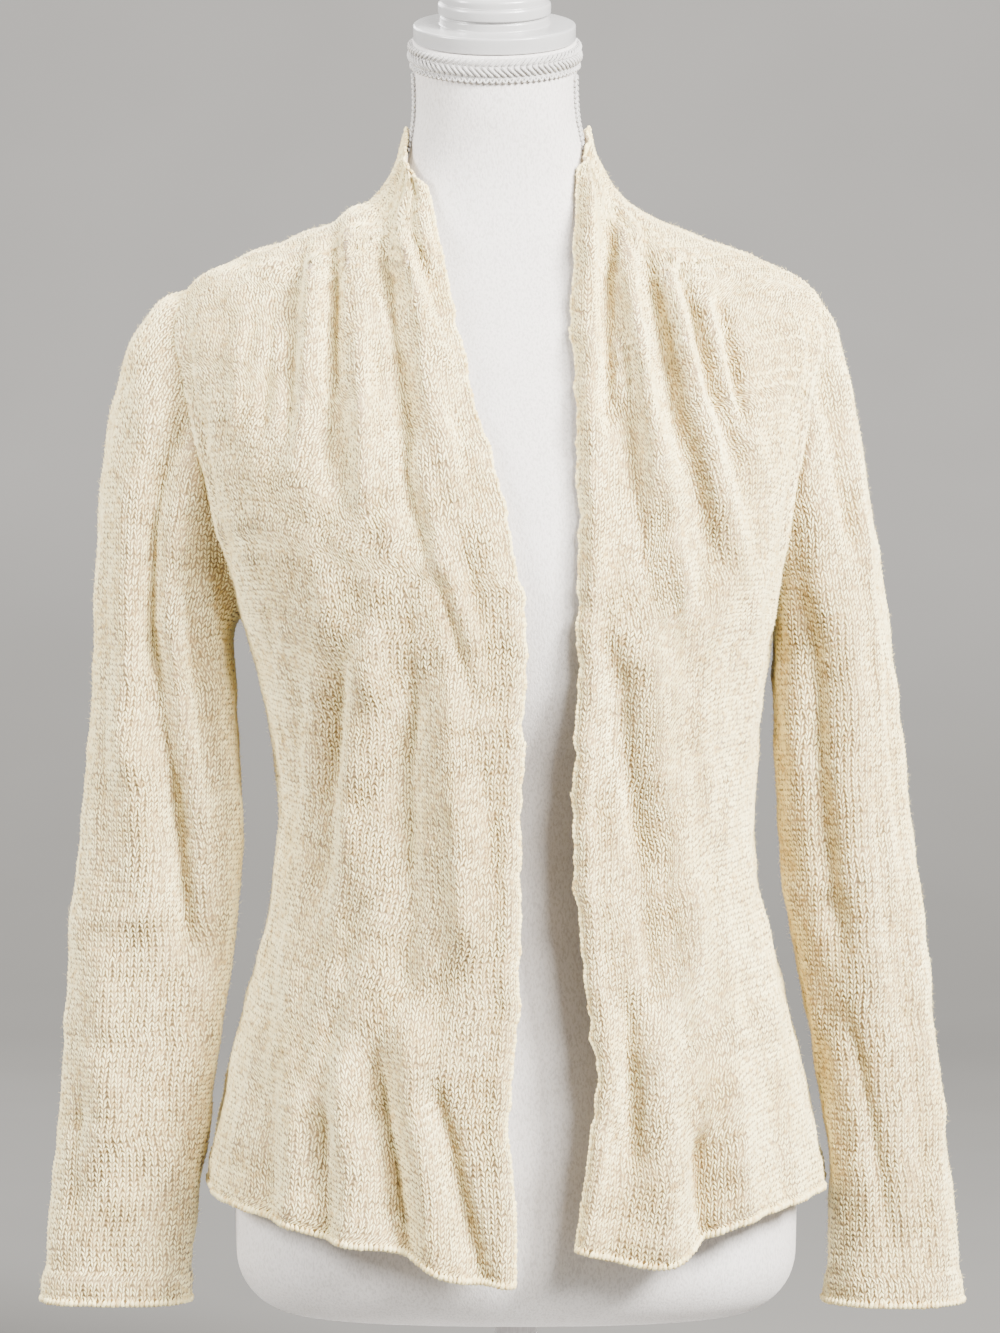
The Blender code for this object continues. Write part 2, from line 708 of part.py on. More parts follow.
def main():
    for old in list(bpy.data.objects):
        bpy.data.objects.remove(old, do_unlink=True)
    cloth("front_right", front_grid("right_front"))
    cloth("front_left", front_grid("left_front"))
    cloth("back", back_grid())
    cloth("collar", collar_grid())
    for side in ("right", "left"):
        cloth(f"sleeve_{side}", sleeve_grid(side), closed=True)
    form_torso()
    neck_cap()
    neck_braid()
    for side, turn in SIDE_BRAID_TURN.items():
        side_braid(f"braid_{side}", turn)
    stand()


main()
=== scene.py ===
"""The look of an open-front knitted cardigan on a limbless dress form.

Sizes are in millimetres in the tables and become metres in the meshes. +Z is up, +X is the wearer's left, and
the open front faces -Y. The cloth is a thin shell on the solids' form. Its plain knit is laid on as yarn.
"""

import math

import bpy
import numpy as np
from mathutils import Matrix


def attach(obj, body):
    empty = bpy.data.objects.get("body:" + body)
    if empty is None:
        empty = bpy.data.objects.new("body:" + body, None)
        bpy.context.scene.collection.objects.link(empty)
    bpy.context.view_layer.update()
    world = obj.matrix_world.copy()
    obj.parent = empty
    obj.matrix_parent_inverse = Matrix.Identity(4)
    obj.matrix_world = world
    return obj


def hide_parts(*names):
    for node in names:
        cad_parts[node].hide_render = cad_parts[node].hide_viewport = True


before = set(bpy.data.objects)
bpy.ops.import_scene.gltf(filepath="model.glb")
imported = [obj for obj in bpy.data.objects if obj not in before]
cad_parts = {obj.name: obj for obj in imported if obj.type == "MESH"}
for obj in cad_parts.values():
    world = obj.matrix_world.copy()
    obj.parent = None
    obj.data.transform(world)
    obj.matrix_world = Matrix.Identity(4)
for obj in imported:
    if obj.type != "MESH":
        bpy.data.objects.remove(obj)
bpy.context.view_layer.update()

MM = 0.001
WHITE = (1.0, 1.0, 1.0)

# Cloth: half its thickness in the solids, the shell's skins from its middle surface, the gauge of the knit,
# and the room left beside an edge
HALF_CLOTH = 1.0
SKIN_OUT = 0.1
SKIN_IN = 1.0
WALE = 4.2
COURSE = 3.0
STITCH_MARGIN = 0.15 * WALE

# Maps: wales that mark the inside, then shares of a square for the outer skin, the inner skin and the rims
INNER_WALES = 1000.0
SKIN_MAP = (0.49, 0.98)
INNER_MAP_START = 0.505
RIM_MAP = ((0.995, 0.99), (1.0, 0.99), (1.0, 1.0), (0.995, 1.0))

# Yarn legs: foot and head beside, above and off a stitch's middle, then the flanks, and how far legs differ
LEG_FOOT = (0.30, -1.95, 0.55)
LEG_HEAD = (1.70, 1.95, 1.35)
LEG_HALF_WIDTH = 0.72
LEG_FLANK_LIFT = -0.10
LEG_ROUNDNESS = 0.35
LEG_UNEVENNESS = 0.26
LEG_SIZES = (0.85, 1.15)
YARN_SEED = 20

# Edge stitches are rods through five places: distances out of the edge, up the face and along the edge,
# thickness at each place, and the mean and spread of the lean along the edge or of the sway out of it
EDGE_SEED = 11
ROD_RUN = np.linspace(-1, 1, 5)
ROD_SIDES = 5
ROD_SIZES = (0.85, 1.2)
HEM_PITCH = 2.8
HEM_LOOP_RADIUS = 1.45
HEM_LOOP_OUT = np.array([-0.6, 0.7, 0.6, -1.0, -3.2])
HEM_LOOP_UP = np.array([-1.2, -0.4, 0.6, 1.0, 0.8])
HEM_LOOP_TAPER = np.array([0, 1, 1.1, 0.95, 0])
HEM_LOOP_LEAN = (0.9, 0.4)
FRONT_EDGE_RADIUS = 1.05
SELVEDGE_RADIUS = 1.0
SELVEDGE_OUT = 0.45 * ROD_RUN
SELVEDGE_UP = 0.1 + 0.5 * ROD_RUN
SELVEDGE_ALONG = 2.4 * ROD_RUN
SELVEDGE_TAPER = np.array([0, 0.9, 1.1, 0.9, 0])
SELVEDGE_SWAY = (-0.35, 0.25)
SEAM_RADIUS = 0.6
SEAM_SIDES = 4
SEAM_SIZES = (0.85, 1.15)
SEAM_OUT = 2.4 * ROD_RUN
SEAM_UP = np.array([0.1, 0.6, 0.8, 0.6, 0.1])
SEAM_TAPER = np.array([0, 1, 1.1, 1, 0])
SEAM_LEAN = (0.9, 0.25)

# Nap: hairs on each panel, the height of their roots, and the ranges of length, stand and root radius
HAIRS = {
    "front_right": 6800, "front_left": 6200, "back": 7200,
    "collar": 420, "sleeve_right": 6800, "sleeve_left": 6800,
}
HAIR_ROOT = 1.0
HAIR_LENGTHS = (1.5, 4.4)
HAIR_STAND = (0.1, 1.3)
HAIR_RADII = (0.10, 0.16)

# Lumps of loose knit: plane waves, with the spread of their headings and the range of their lengths
LUMP_SEED = 7
LUMP_WAVES = 40
LUMP_HEADINGS = (1.0, 1.0, 0.55)
LUMP_LENGTHS = (13.0, 40.0)
LUMP_HEIGHT = 0.7

# Hem band and armhole strip: width, step and height, and the strip's gap and fade at its lower and upper end
HEM_BAND = 15.0
HEM_BAND_STEP = 3.0
HEM_BAND_HEIGHT = 1.9
ARMHOLE_BAND = 8.0
ARMHOLE_BAND_STEP = 4.0
ARMHOLE_BAND_HEIGHT = 2.2
ARMHOLE_BAND_GROOVE = 1.6
ARMHOLE_BAND_LOW = (10.0, 40.0)
ARMHOLE_BAND_HIGH = (6.0, 25.0)

# Folds are a little higher and narrower than in the solids, and gathers that start near the shoulder more so
FOLD_BOOST = 1.25
FOLD_NARROWING = 0.9
FOLD_LEAD = 0.15
FOLD_FADE = 0.3
GATHER_LEVEL = 685.0
GATHER_BOOST = 1.7
GATHER_NARROWING = 0.85
GATHER_RISE = 16.0
GATHER_RIDGE_RISE = 0.3 * GATHER_RISE
GATHER_SKEW = 0.35
SHOULDER_FADE_START = 695.0
SHOULDER_FADE = 16.0

# Room between panels, and between cloth and form
SEAM_GAP = 0.4
SEAM_TUCK = 1.3
LEAST_CLEARANCE = 2.0
LEAST_TROUGH = 0.05
SHOULDER_LIFT = 0.9
SHOULDER_LIFT_LEVEL = 742.0
SHOULDER_LIFT_SPAN = 20.0

# Heights above the floor
BASE_HEIGHT = 12.0
FORM_BOTTOM = 104.0
SIDE_HEM = 184.0
HEM_LIFT_END = 430.0
UNDERARM = 520.0
SHOULDER_END = 717.0
NECK_SEAM = 767.0
COLLAR_TOP = 815.0
NECK_TOP = 867.0

# Form and stand
FORM_EDGE_RADIUS = 36.0
NECK_TILT = math.radians(20.0)
NECK_TILT_START = 795.0
NECK_TILT_END = 840.0
FIT_GAP = 0.3
BRAID_HEIGHT = 15.0
SIDE_BRAID_WIDTH = 7.0
SIDE_BRAID_LOW = 776.0
SIDE_BRAID_TURN = {"right": math.radians(8.0), "left": math.radians(166.0)}
POST_RADIUS = 12.5
BASE_RADIUS = 150.0

# Braids: cords that swell from their ends. The neck braid's rows give each cord's start and reach round the
# neck in repeats, foot, rise and bow in height, lift off the cover and swell, and radius
CORD_SIDES = 6
CORD_SWELL = 4
CORD_END = 0.35
BRAID_REPEATS = 84
BRAID_CORD_POINTS = 7
BRAID_CORDS = (
    (0.0, 1.5, 9.8, 4.8, 0.0, 0.9, 1.5, 0.85),
    (1.9, -2.0, 3.4, 7.0, 0.0, 0.8, 1.9, 0.98),
    (0.0, 1.15, 3.9, 0.0, -3.3, 0.9, 0.9, 0.75),
)
BRAID_BAND = ((0.3, 1.2), (1.2, 1.2), (1.5, 4.0), (1.5, 11.5), (1.2, 14.4), (0.3, 14.4))
SIDE_CORD_POINTS = 6
SIDE_CORD_PITCH = 3.3
SIDE_CORD_RISE = 4.2
SIDE_CORD_LIFT = 0.6
SIDE_CORD_RADIUS = 0.95
SIDE_CORD_TOP_GAP = 0.6
SIDE_CORD_ENDS = (0.95, 0.05)
SIDE_TAPE_SHARE = 0.8
SIDE_TAPE_SKINS = (-0.3, 0.5)
SIDE_TAPE_ROWS = 40
SIDE_TAPE_COLUMNS = 5

# Studio, in metres: the paper's depths, heights and width, then each lamp's place, aim, size, power and
# colour, the air's colour and strength, and the camera
PAPER_FLOOR = (-14.0, -1.0, 1.0)
PAPER_BEND_START = 2.6
PAPER_BEND = 2.4
PAPER_BEND_ROWS = 24
PAPER_WALL = (4.0, 7.0)
PAPER_HALF_WIDTH = 14.0
PAPER_COLUMNS = 15
LAMP_AIM = (0.0, 0.0, 0.5)
LAMPS = (
    ("key", (2.0, -1.85, 2.0), LAMP_AIM, 0.8, 520.0, (1.0, 0.985, 0.96)),
    ("fill", (-2.5, -1.1, 1.7), LAMP_AIM, 0.8, 215.0, (1.0, 0.99, 0.98)),
    ("front", (1.3, -2.6, 2.1), LAMP_AIM, 0.9, 200.0, (1.0, 0.99, 0.97)),
    ("back", (-1.4, 2.0, 2.3), LAMP_AIM, 1.6, 110.0, (1.0, 0.99, 0.98)),
    ("paper", (0.0, 2.0, 4.6), (0.0, 5.0, 1.3), 3.0, 480.0, (1.0, 0.99, 0.975)),
)
AIR_COLOUR = (1.0, 0.995, 0.985, 1.0)
AIR_STRENGTH = 0.42
CAMERA_PLACE = (-0.0096, -2.3, 0.490)
CAMERA_LENS = 103.5
CAMERA_SENSOR = 36.0

# Armhole: half widths in front of and behind the side line, and the roundness of its outline
ARMHOLE_FRONT = 46.0
ARMHOLE_BACK = 42.0
ARMHOLE_ROUNDNESS = 2.2

# Numbers of faces
ROW_BANDS = ((SIDE_HEM, HEM_LIFT_END, 50), (HEM_LIFT_END, UNDERARM, 18))
ARMHOLE_ROWS = 44
SHOULDER_ROWS = 18
COLLAR_ROWS = 12
FRONT_COLUMNS = 54
FRONT_CROWDING = 0.75
BACK_COLUMNS = 72
SLEEVE_COLUMNS_ROUND = 76
SLEEVE_CAP_ROWS = 40
SLEEVE_ROWS = 84
FORM_SIDES = 96
FORM_ROWS = 110
FORM_EDGE_ROWS = 12
TURNED_SIDES = 96

FORM_COLUMNS = ("z", "centre_x", "half_width", "centre_y", "front", "back", "squareness")
FORM_SECTIONS = (
    (104, 0, 166, 5, 98, 106, 2.3),
    (150, 0, 168, 5, 99, 110, 2.3),
    (195, 0, 168, 5, 97, 112, 2.3),
    (240, 0, 164, 5, 92, 108, 2.3),
    (290, 0, 152, 4, 85, 96, 2.2),
    (340, 0, 138, 3, 79, 82, 2.2),
    (385, 0, 132, 2, 77, 77, 2.2),
    (430, 0, 133, 2, 86, 80, 2.2),
    (480, -2, 140, 3, 106, 88, 2.3),
    (530, -5, 152, 4, 117, 94, 2.5),
    (575, -8, 163, 5, 112, 98, 2.8),
    (620, -9, 174, 8, 99, 100, 3.1),
    (660, -10, 183, 11, 86, 98, 3.2),
    (690, -10, 188, 14, 76, 92, 2.9),
    (708, -10, 187, 15, 69, 86, 2.5),
    (720, -11, 178, 16, 65, 80, 2.3),
    (733, -11, 154, 16, 61, 74, 2.1),
    (745, -11, 123, 16, 58, 69, 2.0),
    (756, -11, 95, 16, 55, 64, 2.0),
    (767, -11, 76, 16, 53, 60, 2.0),
    (780, -11, 63, 15, 51, 56, 2.0),
    (795, -11, 55, 14, 50, 53, 2.0),
    (815, -11.5, 50.5, 12, 49, 51, 2.0),
    (870, -13, 49.5, 9, 49, 50, 2.0),
)

EASE_COLUMNS = ("z", "side", "front", "back")
EASE_SECTIONS = (
    (104, 13, 30, 14),
    (195, 12, 32, 14),
    (250, 8, 36, 14),
    (310, 8, 42, 16),
    (385, 9, 44, 20),
    (430, 9, 36, 18),
    (480, 9, 18, 13),
    (530, 8, 9, 8),
    (575, 7, 8, 6),
    (620, 6, 9, 4),
    (660, 5, 9, 3),
    (690, 6, 9, 2.2),
    (717, 5, 9, 1.8),
    (733, 4.5, 9, 1.8),
    (756, 4, 8, 1.8),
    (767, 4, 7, 2.2),
    (795, 4, 5, 3),
    (815, 3.5, 4, 4),
    (870, 3.5, 4, 4),
)

EDGE_COLUMNS = ("z", "right_front", "left_front")
EDGE_SECTIONS = (
    (130, -1, 29),
    (175, -1, 36),
    (230, -5, 43),
    (262, -3, 46),
    (300, 1, 41),
    (345, 1, 37),
    (400, 2, 33),
    (450, 3, 35),
    (500, 5, 36),
    (540, 1, 36),
    (590, -9, 36),
    (640, -23, 35),
    (690, -35, 33),
    (730, -43, 34),
    (767, -52, 37),
    (800, -62, 39),
    (815, -64, 39),
)

HEM_COLUMNS = ("share", "right_front", "left_front")
HEM_SECTIONS = (
    (0.0, 0, 0),
    (0.2, 5, 3),
    (0.4, 10, 7),
    (0.55, 16, 11),
    (0.65, 22, 17),
    (0.72, 24, 24),
    (0.78, 26, 34),
    (0.84, 33, 35),
    (0.9, 41, 32),
    (1.0, 46, 25),
)
NECK_DROP = {"right_front": 40.0, "left_front": 28.0}
NECK_DROP_START = 735.0

# Rolled front edge: its ridge, tuck towards the form and wander, then the shawl neck's rolls, each with its
# distance from the edge, half width, height and the start of its sway
ROLL_HEIGHT = 2.6
ROLL_PLACE = 5.5
ROLL_WIDTH = 3.8
ROLL_TUCK = 4.5
ROLL_TIGHTNESS = 2.8
EDGE_WAVE = 1.1
EDGE_WAVE_LENGTHS = (17.0, 29.0, 47.0, 83.0)
EDGE_WAVE_START = {"right_front": 0.0, "left_front": 2.0}
EDGE_WAVE_FADE = 60.0
SHAWL_ROLLS = (
    (9.0, 4.5, 2.2, 0.0),
    (17.0, 3.2, -3.2, 1.1),
    (24.0, 4.2, 2.6, 2.3),
    (33.0, 3.6, -3.0, 3.4),
    (42.0, 4.6, 2.2, 4.6),
    (52.0, 4.0, -2.2, 5.7),
)
SHAWL_SWAY = 3.0
SHAWL_SWAY_LENGTH = 130.0
SHAWL_STRENGTH = 0.65
SHAWL_STRENGTH_SWING = 0.35
SHAWL_STRENGTH_LENGTH = 0.7 * SHAWL_SWAY_LENGTH
SHAWL_STRENGTH_DRIFT = 2.1
SHAWL_NARROWING = 0.35
SHAWL_START = 560.0
SHAWL_FULL = 700.0

# Folds: x and height of the upper end and of the lower end, half width and height off the cloth. The solids'
# folds come first, then the finer gathers and creases between them
FRONT_FOLDS = {
    "right_front": (
        (-134, 705, -130, 615, 8, -3.0), (-118, 722, -126, 605, 9, 3.5),
        (-107, 722, -110, 600, 7, -4.0), (-96, 745, -85, 575, 9, 5.0), (-83, 752, -65, 620, 7, -5.0),
        (-67, 738, -32, 575, 10, 4.5), (-50, 706, -27, 625, 6, -3.0), (-101, 482, -114, 357, 9, -5.0),
        (-90, 500, -96, 357, 12, 6.0), (-62, 478, -66, 300, 10, -8.0), (-40, 472, -27, 322, 12, 6.0),
        (-98, 266, -91, 150, 13, 8.0), (-82, 266, -63, 152, 9, -9.0), (-61, 284, -42, 138, 12, 8.0),
        (-48, 250, -20, 140, 8, -8.0), (-110, 230, -108, 158, 7, -5.0), (-145, 250, -143, 170, 9, -4.0),
        (-128, 250, -127, 165, 10, 5.0), (-55, 751, -26, 651, 5, -2.6), (-78, 757, -34, 651, 6, 2.2),
        (-81, 765, -60, 682, 4, -2.6), (-88, 730, -85, 627, 5, 1.8), (-96, 732, -94, 659, 3.5, -2.2),
        (-107, 715, -109, 644, 4, -2.2), (-119, 724, -115, 651, 5, 1.8),
        (-127, 719, -131, 644, 4, -1.8), (-44, 684, -14, 603, 4, -1.8), (-64, 684, -44, 598, 5, 1.4),
        (-73, 644, -53, 551, 4, -1.6), (-142, 701, -147, 626, 5, -1.6), (-159, 696, -164, 626, 6, 1.4),
        (-96, 505, -108, 419, 6, -2.2), (-108, 528, -119, 436, 7, 1.8), (-82, 517, -79, 436, 6, 2.0),
        (-61, 528, -59, 448, 5, -1.8), (-44, 540, -36, 459, 6, 1.6), (-27, 551, -15, 471, 5, -1.6),
        (-125, 471, -136, 378, 7, -2.0), (-21, 436, -10, 355, 6, -2.0), (-36, 425, -27, 338, 7, 1.8),
        (-96, 384, -99, 309, 6, -1.8), (-70, 396, -64, 321, 6, 1.8), (-125, 338, -134, 252, 7, 2.0),
        (-142, 309, -154, 223, 6, -2.0), (-108, 292, -108, 223, 6, -1.8),
        (-119, 640, -117, 575, 9, 2.5), (-102, 665, -97, 580, 7, -3.5), (-85, 640, -71, 550, 8, 3.5),
        (-67, 665, -61, 560, 7, -4.0), (-55, 615, -44, 540, 6, 4.5), (-46, 560, -20, 480, 6, 4.5),
        (-58, 585, -27, 488, 6, -4.5), (-37, 595, -21, 520, 6, -3.0),
    ),
    "left_front": (
        (43, 765, 44, 530, 8, 3.0), (56, 752, 52, 632, 6, -5.5), (64, 738, 79, 585, 9, 5.0),
        (75, 722, 93, 625, 7, -5.0), (87, 716, 118, 562, 9, 4.5), (97, 705, 114, 636, 6, -4.0),
        (109, 700, 131, 608, 8, 3.5), (120, 690, 131, 630, 6, -3.0), (59, 494, 70, 385, 9, -7.0),
        (76, 505, 99, 322, 13, 6.0), (63, 300, 67, 208, 8, -6.0), (79, 288, 84, 148, 14, 9.0),
        (104, 220, 107, 160, 6, -9.0), (47, 277, 42, 155, 10, 5.0), (125, 255, 130, 168, 11, 5.0),
        (147, 250, 155, 176, 8, -3.0), (57, 757, 54, 692, 4, -2.4), (62, 715, 82, 611, 6, 2.0),
        (71, 701, 83, 626, 4, -2.0), (87, 708, 113, 611, 5, 1.8), (117, 690, 129, 632, 5, -1.8),
        (132, 684, 143, 626, 6, 1.4), (48, 684, 50, 603, 5, 1.6), (71, 574, 83, 505, 5, -1.8),
        (88, 563, 100, 494, 6, 1.6), (106, 551, 117, 476, 6, -1.6), (51, 517, 55, 436, 5, -1.8),
        (65, 505, 71, 425, 7, 1.8), (83, 482, 90, 402, 6, -2.0), (106, 471, 114, 384, 7, 1.8),
        (123, 505, 128, 425, 6, -1.6), (71, 384, 77, 298, 6, -2.0), (100, 367, 106, 286, 7, 1.8),
        (126, 378, 133, 298, 6, -1.8), (146, 355, 152, 269, 7, 1.6), (60, 292, 57, 223, 6, 1.6),
        (117, 275, 126, 200, 7, 1.8), (91, 635, 113, 552, 7, -3.5), (82, 615, 95, 530, 7, 3.5),
        (58, 645, 74, 538, 7, -3.0), (117, 605, 132, 542, 7, 2.5), (128, 645, 147, 595, 7, 2.5),
    ),
}

BACK_FOLDS = (
    (-105, 300, -112, 170, 14, 6.0), (-72, 330, -70, 170, 12, -7.0), (-35, 380, -30, 170, 16, 7.0),
    (8, 350, 12, 170, 12, -6.0), (48, 380, 55, 170, 15, 7.0), (88, 320, 95, 170, 13, -7.0),
    (122, 290, 128, 170, 14, 6.0), (-62, 480, -50, 360, 16, 5.0), (58, 480, 48, 360, 16, 5.0),
    (-120, 640, -96, 520, 8, 2.2), (-92, 610, -74, 500, 7, -1.8), (102, 640, 84, 520, 8, 2.2),
    (74, 600, 62, 500, 7, -1.8), (-20, 470, -14, 380, 8, -2.4), (18, 480, 24, 390, 8, 2.0),
    (-90, 450, -84, 340, 8, -2.2), (94, 440, 90, 330, 8, -2.2), (-30, 740, -26, 640, 7, 1.2),
    (26, 735, 20, 650, 7, 1.2),
)

SLEEVE_COLUMNS = ("z", "outer", "inner", "centre_y", "half_depth")
SLEEVE_SECTIONS = {
    "right": (
        (108, -282, -197, -6, 21),
        (145, -280, -195, -6, 22),
        (200, -274, -188, -5, 25),
        (260, -270, -178, -4, 28),
        (330, -266, -169, -2, 32),
        (400, -259, -165, 0, 36),
        (450, -255, -168, 2, 39),
        (500, -252, -171, 4, 42),
    ),
    "left": (
        (108, 264, 187, -8, 25),
        (145, 263, 188, -8, 25),
        (200, 257, 187, -7, 27),
        (260, 251, 179.5, -5, 30),
        (330, 244, 166, -3, 34),
        (400, 236, 157.5, 0, 38),
        (450, 230, 155.5, 2, 41),
        (500, 224, 156, 4, 43),
    ),
}
SLEEVE_SQUARENESS = 2.3
SLEEVE_CAP_END = 500.0
SLEEVE_CUFF = 112.0
SLEEVE_SEAT = {"right": 0.3, "left": 0.3}
CAP_DROP = 6.0
CAP_SPRING = {"right": 1.0, "left": 0.45}
SEAM_FADE_ROWS = 9

# Folds down the sleeves, with angles round the sleeve in degrees in place of x
SLEEVE_FOLDS = {
    "right": (
        (80, 704, 84, 500, 8, -6.5), (84, 520, 113, 325, 9, -6.0), (95, 704, 98, 500, 9, 4.5),
        (99, 520, 126, 335, 9, 4.0), (62, 690, 66, 420, 13, 2.5), (95, 420, 128, 315, 14, -5.0),
        (70, 450, 92, 330, 16, 4.0), (60, 320, 75, 200, 18, 4.0), (230, 650, 245, 480, 18, -5.0),
        (285, 480, 270, 300, 20, 4.0), (75, 640, 70, 470, 7, 2.0), (112, 560, 120, 430, 9, -2.0),
        (40, 520, 50, 380, 9, -1.8), (100, 300, 118, 210, 9, -2.0), (45, 260, 52, 160, 10, -1.8),
        (265, 600, 280, 470, 12, 2.0), (300, 360, 285, 220, 12, -2.0),
    ),
    "left": (
        (62, 690, 66, 560, 13, -5.0), (95, 690, 98, 520, 16, 4.0), (78, 540, 86, 300, 15, 4.0),
        (112, 520, 108, 330, 14, -5.0), (108, 270, 95, 140, 10, -4.0), (58, 330, 66, 150, 16, -3.0),
        (228, 650, 240, 480, 18, -5.0), (280, 470, 268, 280, 20, 4.0), (48, 600, 52, 450, 8, 2.0),
        (98, 470, 96, 340, 8, 1.8), (70, 420, 74, 300, 7, -1.8), (100, 300, 92, 180, 9, 1.8),
        (40, 470, 46, 360, 9, -1.8), (260, 600, 276, 470, 12, 2.0), (300, 350, 288, 220, 12, -2.0),
    ),
}

# Creases across the sleeves: heights at the outer and inner side, half width, height, middle and spread
SLEEVE_CROSSES = {
    "right": (
        (312, 298, 5, -1.8, 55, 45), (268, 262, 5, -1.6, 50, 40), (219, 224, 5, -1.6, 60, 45),
        (335, 352, 6, 1.5, 70, 50), (560, 540, 7, -1.6, 120, 40), (505, 486, 6, -1.8, 130, 45),
        (455, 470, 7, 1.6, 110, 40),
    ),
    "left": (
        (398, 372, 5, -1.8, 95, 40), (372, 356, 5, 1.5, 95, 40), (330, 344, 6, -1.5, 70, 45),
        (268, 258, 6, 1.5, 80, 45), (560, 538, 7, -1.6, 120, 40), (510, 492, 6, -1.8, 130, 45),
        (196, 204, 6, -1.4, 70, 45),
    ),
}


def column(table, columns, name, at):
    """A smooth curve through one column of a table: cubics with slopes from the neighbouring rows."""
    rows = np.array(table, float)
    known = rows[:, 0]
    values = rows[:, columns.index(name)]
    slopes = np.gradient(values, known)
    at = np.clip(np.asarray(at, float), known[0], known[-1])
    low = np.clip(np.searchsorted(known, at, side="right") - 1, 0, len(known) - 2)
    span = known[low + 1] - known[low]
    u = (at - known[low]) / span
    start = (1 + 2 * u) * (1 - u) ** 2 * values[low] + u * (1 - u) ** 2 * slopes[low] * span
    end = u * u * (3 - 2 * u) * values[low + 1] + u * u * (u - 1) * slopes[low + 1] * span
    return start + end


def form_size(name, z):
    return column(FORM_SECTIONS, FORM_COLUMNS, name, z)


def ease(name, z):
    return column(EASE_SECTIONS, EASE_COLUMNS, name, z)


def smoothstep(u):
    u = np.clip(u, 0.0, 1.0)
    return u * u * (3 - 2 * u)


def bell(distance, half_width):
    return np.exp(-((distance / half_width) ** 2))


def bent(value, power):
    return np.sign(value) * np.abs(value) ** power


def unit(vectors):
    return vectors / np.maximum(np.linalg.norm(vectors, axis=-1, keepdims=True), 1e-9)


def row_levels():
    """Heights of the rows along the side seam, the armhole, the shoulder line and the side of the neck."""
    levels = [np.array([SIDE_HEM])]
    for low, high, count in ROW_BANDS:
        levels.append(np.linspace(low, high, count + 1)[1:])
    turn = np.linspace(0, math.pi, ARMHOLE_ROWS + 1)[1:]
    levels.append(UNDERARM + (SHOULDER_END - UNDERARM) * (1 - np.cos(turn)) / 2)
    levels.append(np.linspace(SHOULDER_END, NECK_SEAM, SHOULDER_ROWS + 1)[1:])
    levels.append(np.linspace(NECK_SEAM, COLLAR_TOP, COLLAR_ROWS + 1)[1:])
    return np.concatenate(levels)


def armhole(z, half_width):
    """Distance of a panel's edge from the side line: half a seam, or the armhole's superellipse."""
    rise = np.clip((z - UNDERARM) / (SHOULDER_END - UNDERARM), 0, 1)
    outline = (1 - np.abs(2 * rise - 1) ** ARMHOLE_ROUNDNESS) ** (1 / ARMHOLE_ROUNDNESS)
    return np.maximum(SEAM_GAP / 2, half_width * outline)


def body_sizes(z, face):
    """Half width and depth of the cloth's middle surface, and its squareness, at a height."""
    half_width = form_size("half_width", z) + ease("side", z) + HALF_CLOTH
    depth = form_size(face, z) + ease(face, z) + HALF_CLOTH
    return half_width, depth, form_size("squareness", z)


def body_point(z, turn, face):
    """Superellipse of the cloth at a height, from the wearer's right side line (0) to the left one (pi)."""
    half_width, depth, squareness = body_sizes(z, face)
    sign = -1 if face == "front" else 1
    x = form_size("centre_x", z) - half_width * bent(np.cos(turn), 2 / squareness)
    y = form_size("centre_y", z) + sign * depth * bent(np.sin(turn), 2 / squareness)
    return np.stack([x, y, z], axis=-1)


def turn_at_side(z, offset, face):
    """Angle at which the cloth lies this far before or behind the side line."""
    depth, squareness = body_sizes(z, face)[1:]
    return np.arcsin((offset / depth) ** (squareness / 2))


def turn_at_x(z, x):
    """Angle at which the front of the cloth passes x."""
    half_width, _, squareness = body_sizes(z, "front")
    share = np.clip((form_size("centre_x", z) - x) / half_width, -1, 1)
    return np.arccos(bent(share, squareness / 2))


def normals(points, closed=False):
    """Outward unit normals: the step along the rows crossed with the step up the columns."""
    if closed:
        along = np.roll(points, -1, axis=1) - np.roll(points, 1, axis=1)
    else:
        along = np.gradient(points, axis=1)
    return unit(np.cross(along, np.gradient(points, axis=0)))


def run_along(points, axis):
    """Distance along the lines of a grid from the first point of each: the running sum of its steps."""
    step = np.linalg.norm(np.diff(points, axis=axis), axis=-1)
    return np.concatenate([0 * step.take([0], axis=axis), np.cumsum(step, axis=axis)], axis=axis)


def fold_height(folds, across, z, gathered=False):
    """Sum of bell-shaped ridges and troughs, each along a straight line with faded ends. On gathered panels,
    those that start near the shoulder are higher, narrower and steeper on one side."""
    total = np.zeros_like(z)
    for first, z_top, last, z_bottom, half_width, height in folds:
        skew = 0.0
        if gathered and z_top > GATHER_LEVEL:
            z_top += GATHER_RISE if height < 0 else GATHER_RIDGE_RISE
            half_width, height = GATHER_NARROWING * half_width, GATHER_BOOST * height
            skew = GATHER_SKEW * np.sign(height) * (-1 if first < 0 else 1)
        down = (z_top - z) / (z_top - z_bottom)
        line = first + (last - first) * np.clip(down, 0, 1)
        fade = smoothstep((down + FOLD_LEAD) / FOLD_FADE) * smoothstep((1 + FOLD_LEAD - down) / FOLD_FADE)
        away = across - line
        width = FOLD_NARROWING * half_width * (1 + skew * np.sign(away))
        total += FOLD_BOOST * height * fade * bell(away, width)
    return total


def cross_height(crosses, around, z):
    """Sum of creases that run round a sleeve: bells in height, faded away from their middle angle."""
    total = np.zeros_like(z)
    for z_outer, z_inner, half_width, height, turn, spread in crosses:
        line = z_outer + (z_inner - z_outer) * np.clip(around / 180.0, 0, 1)
        total += height * bell(z - line, half_width) * bell(around - turn, spread)
    return total


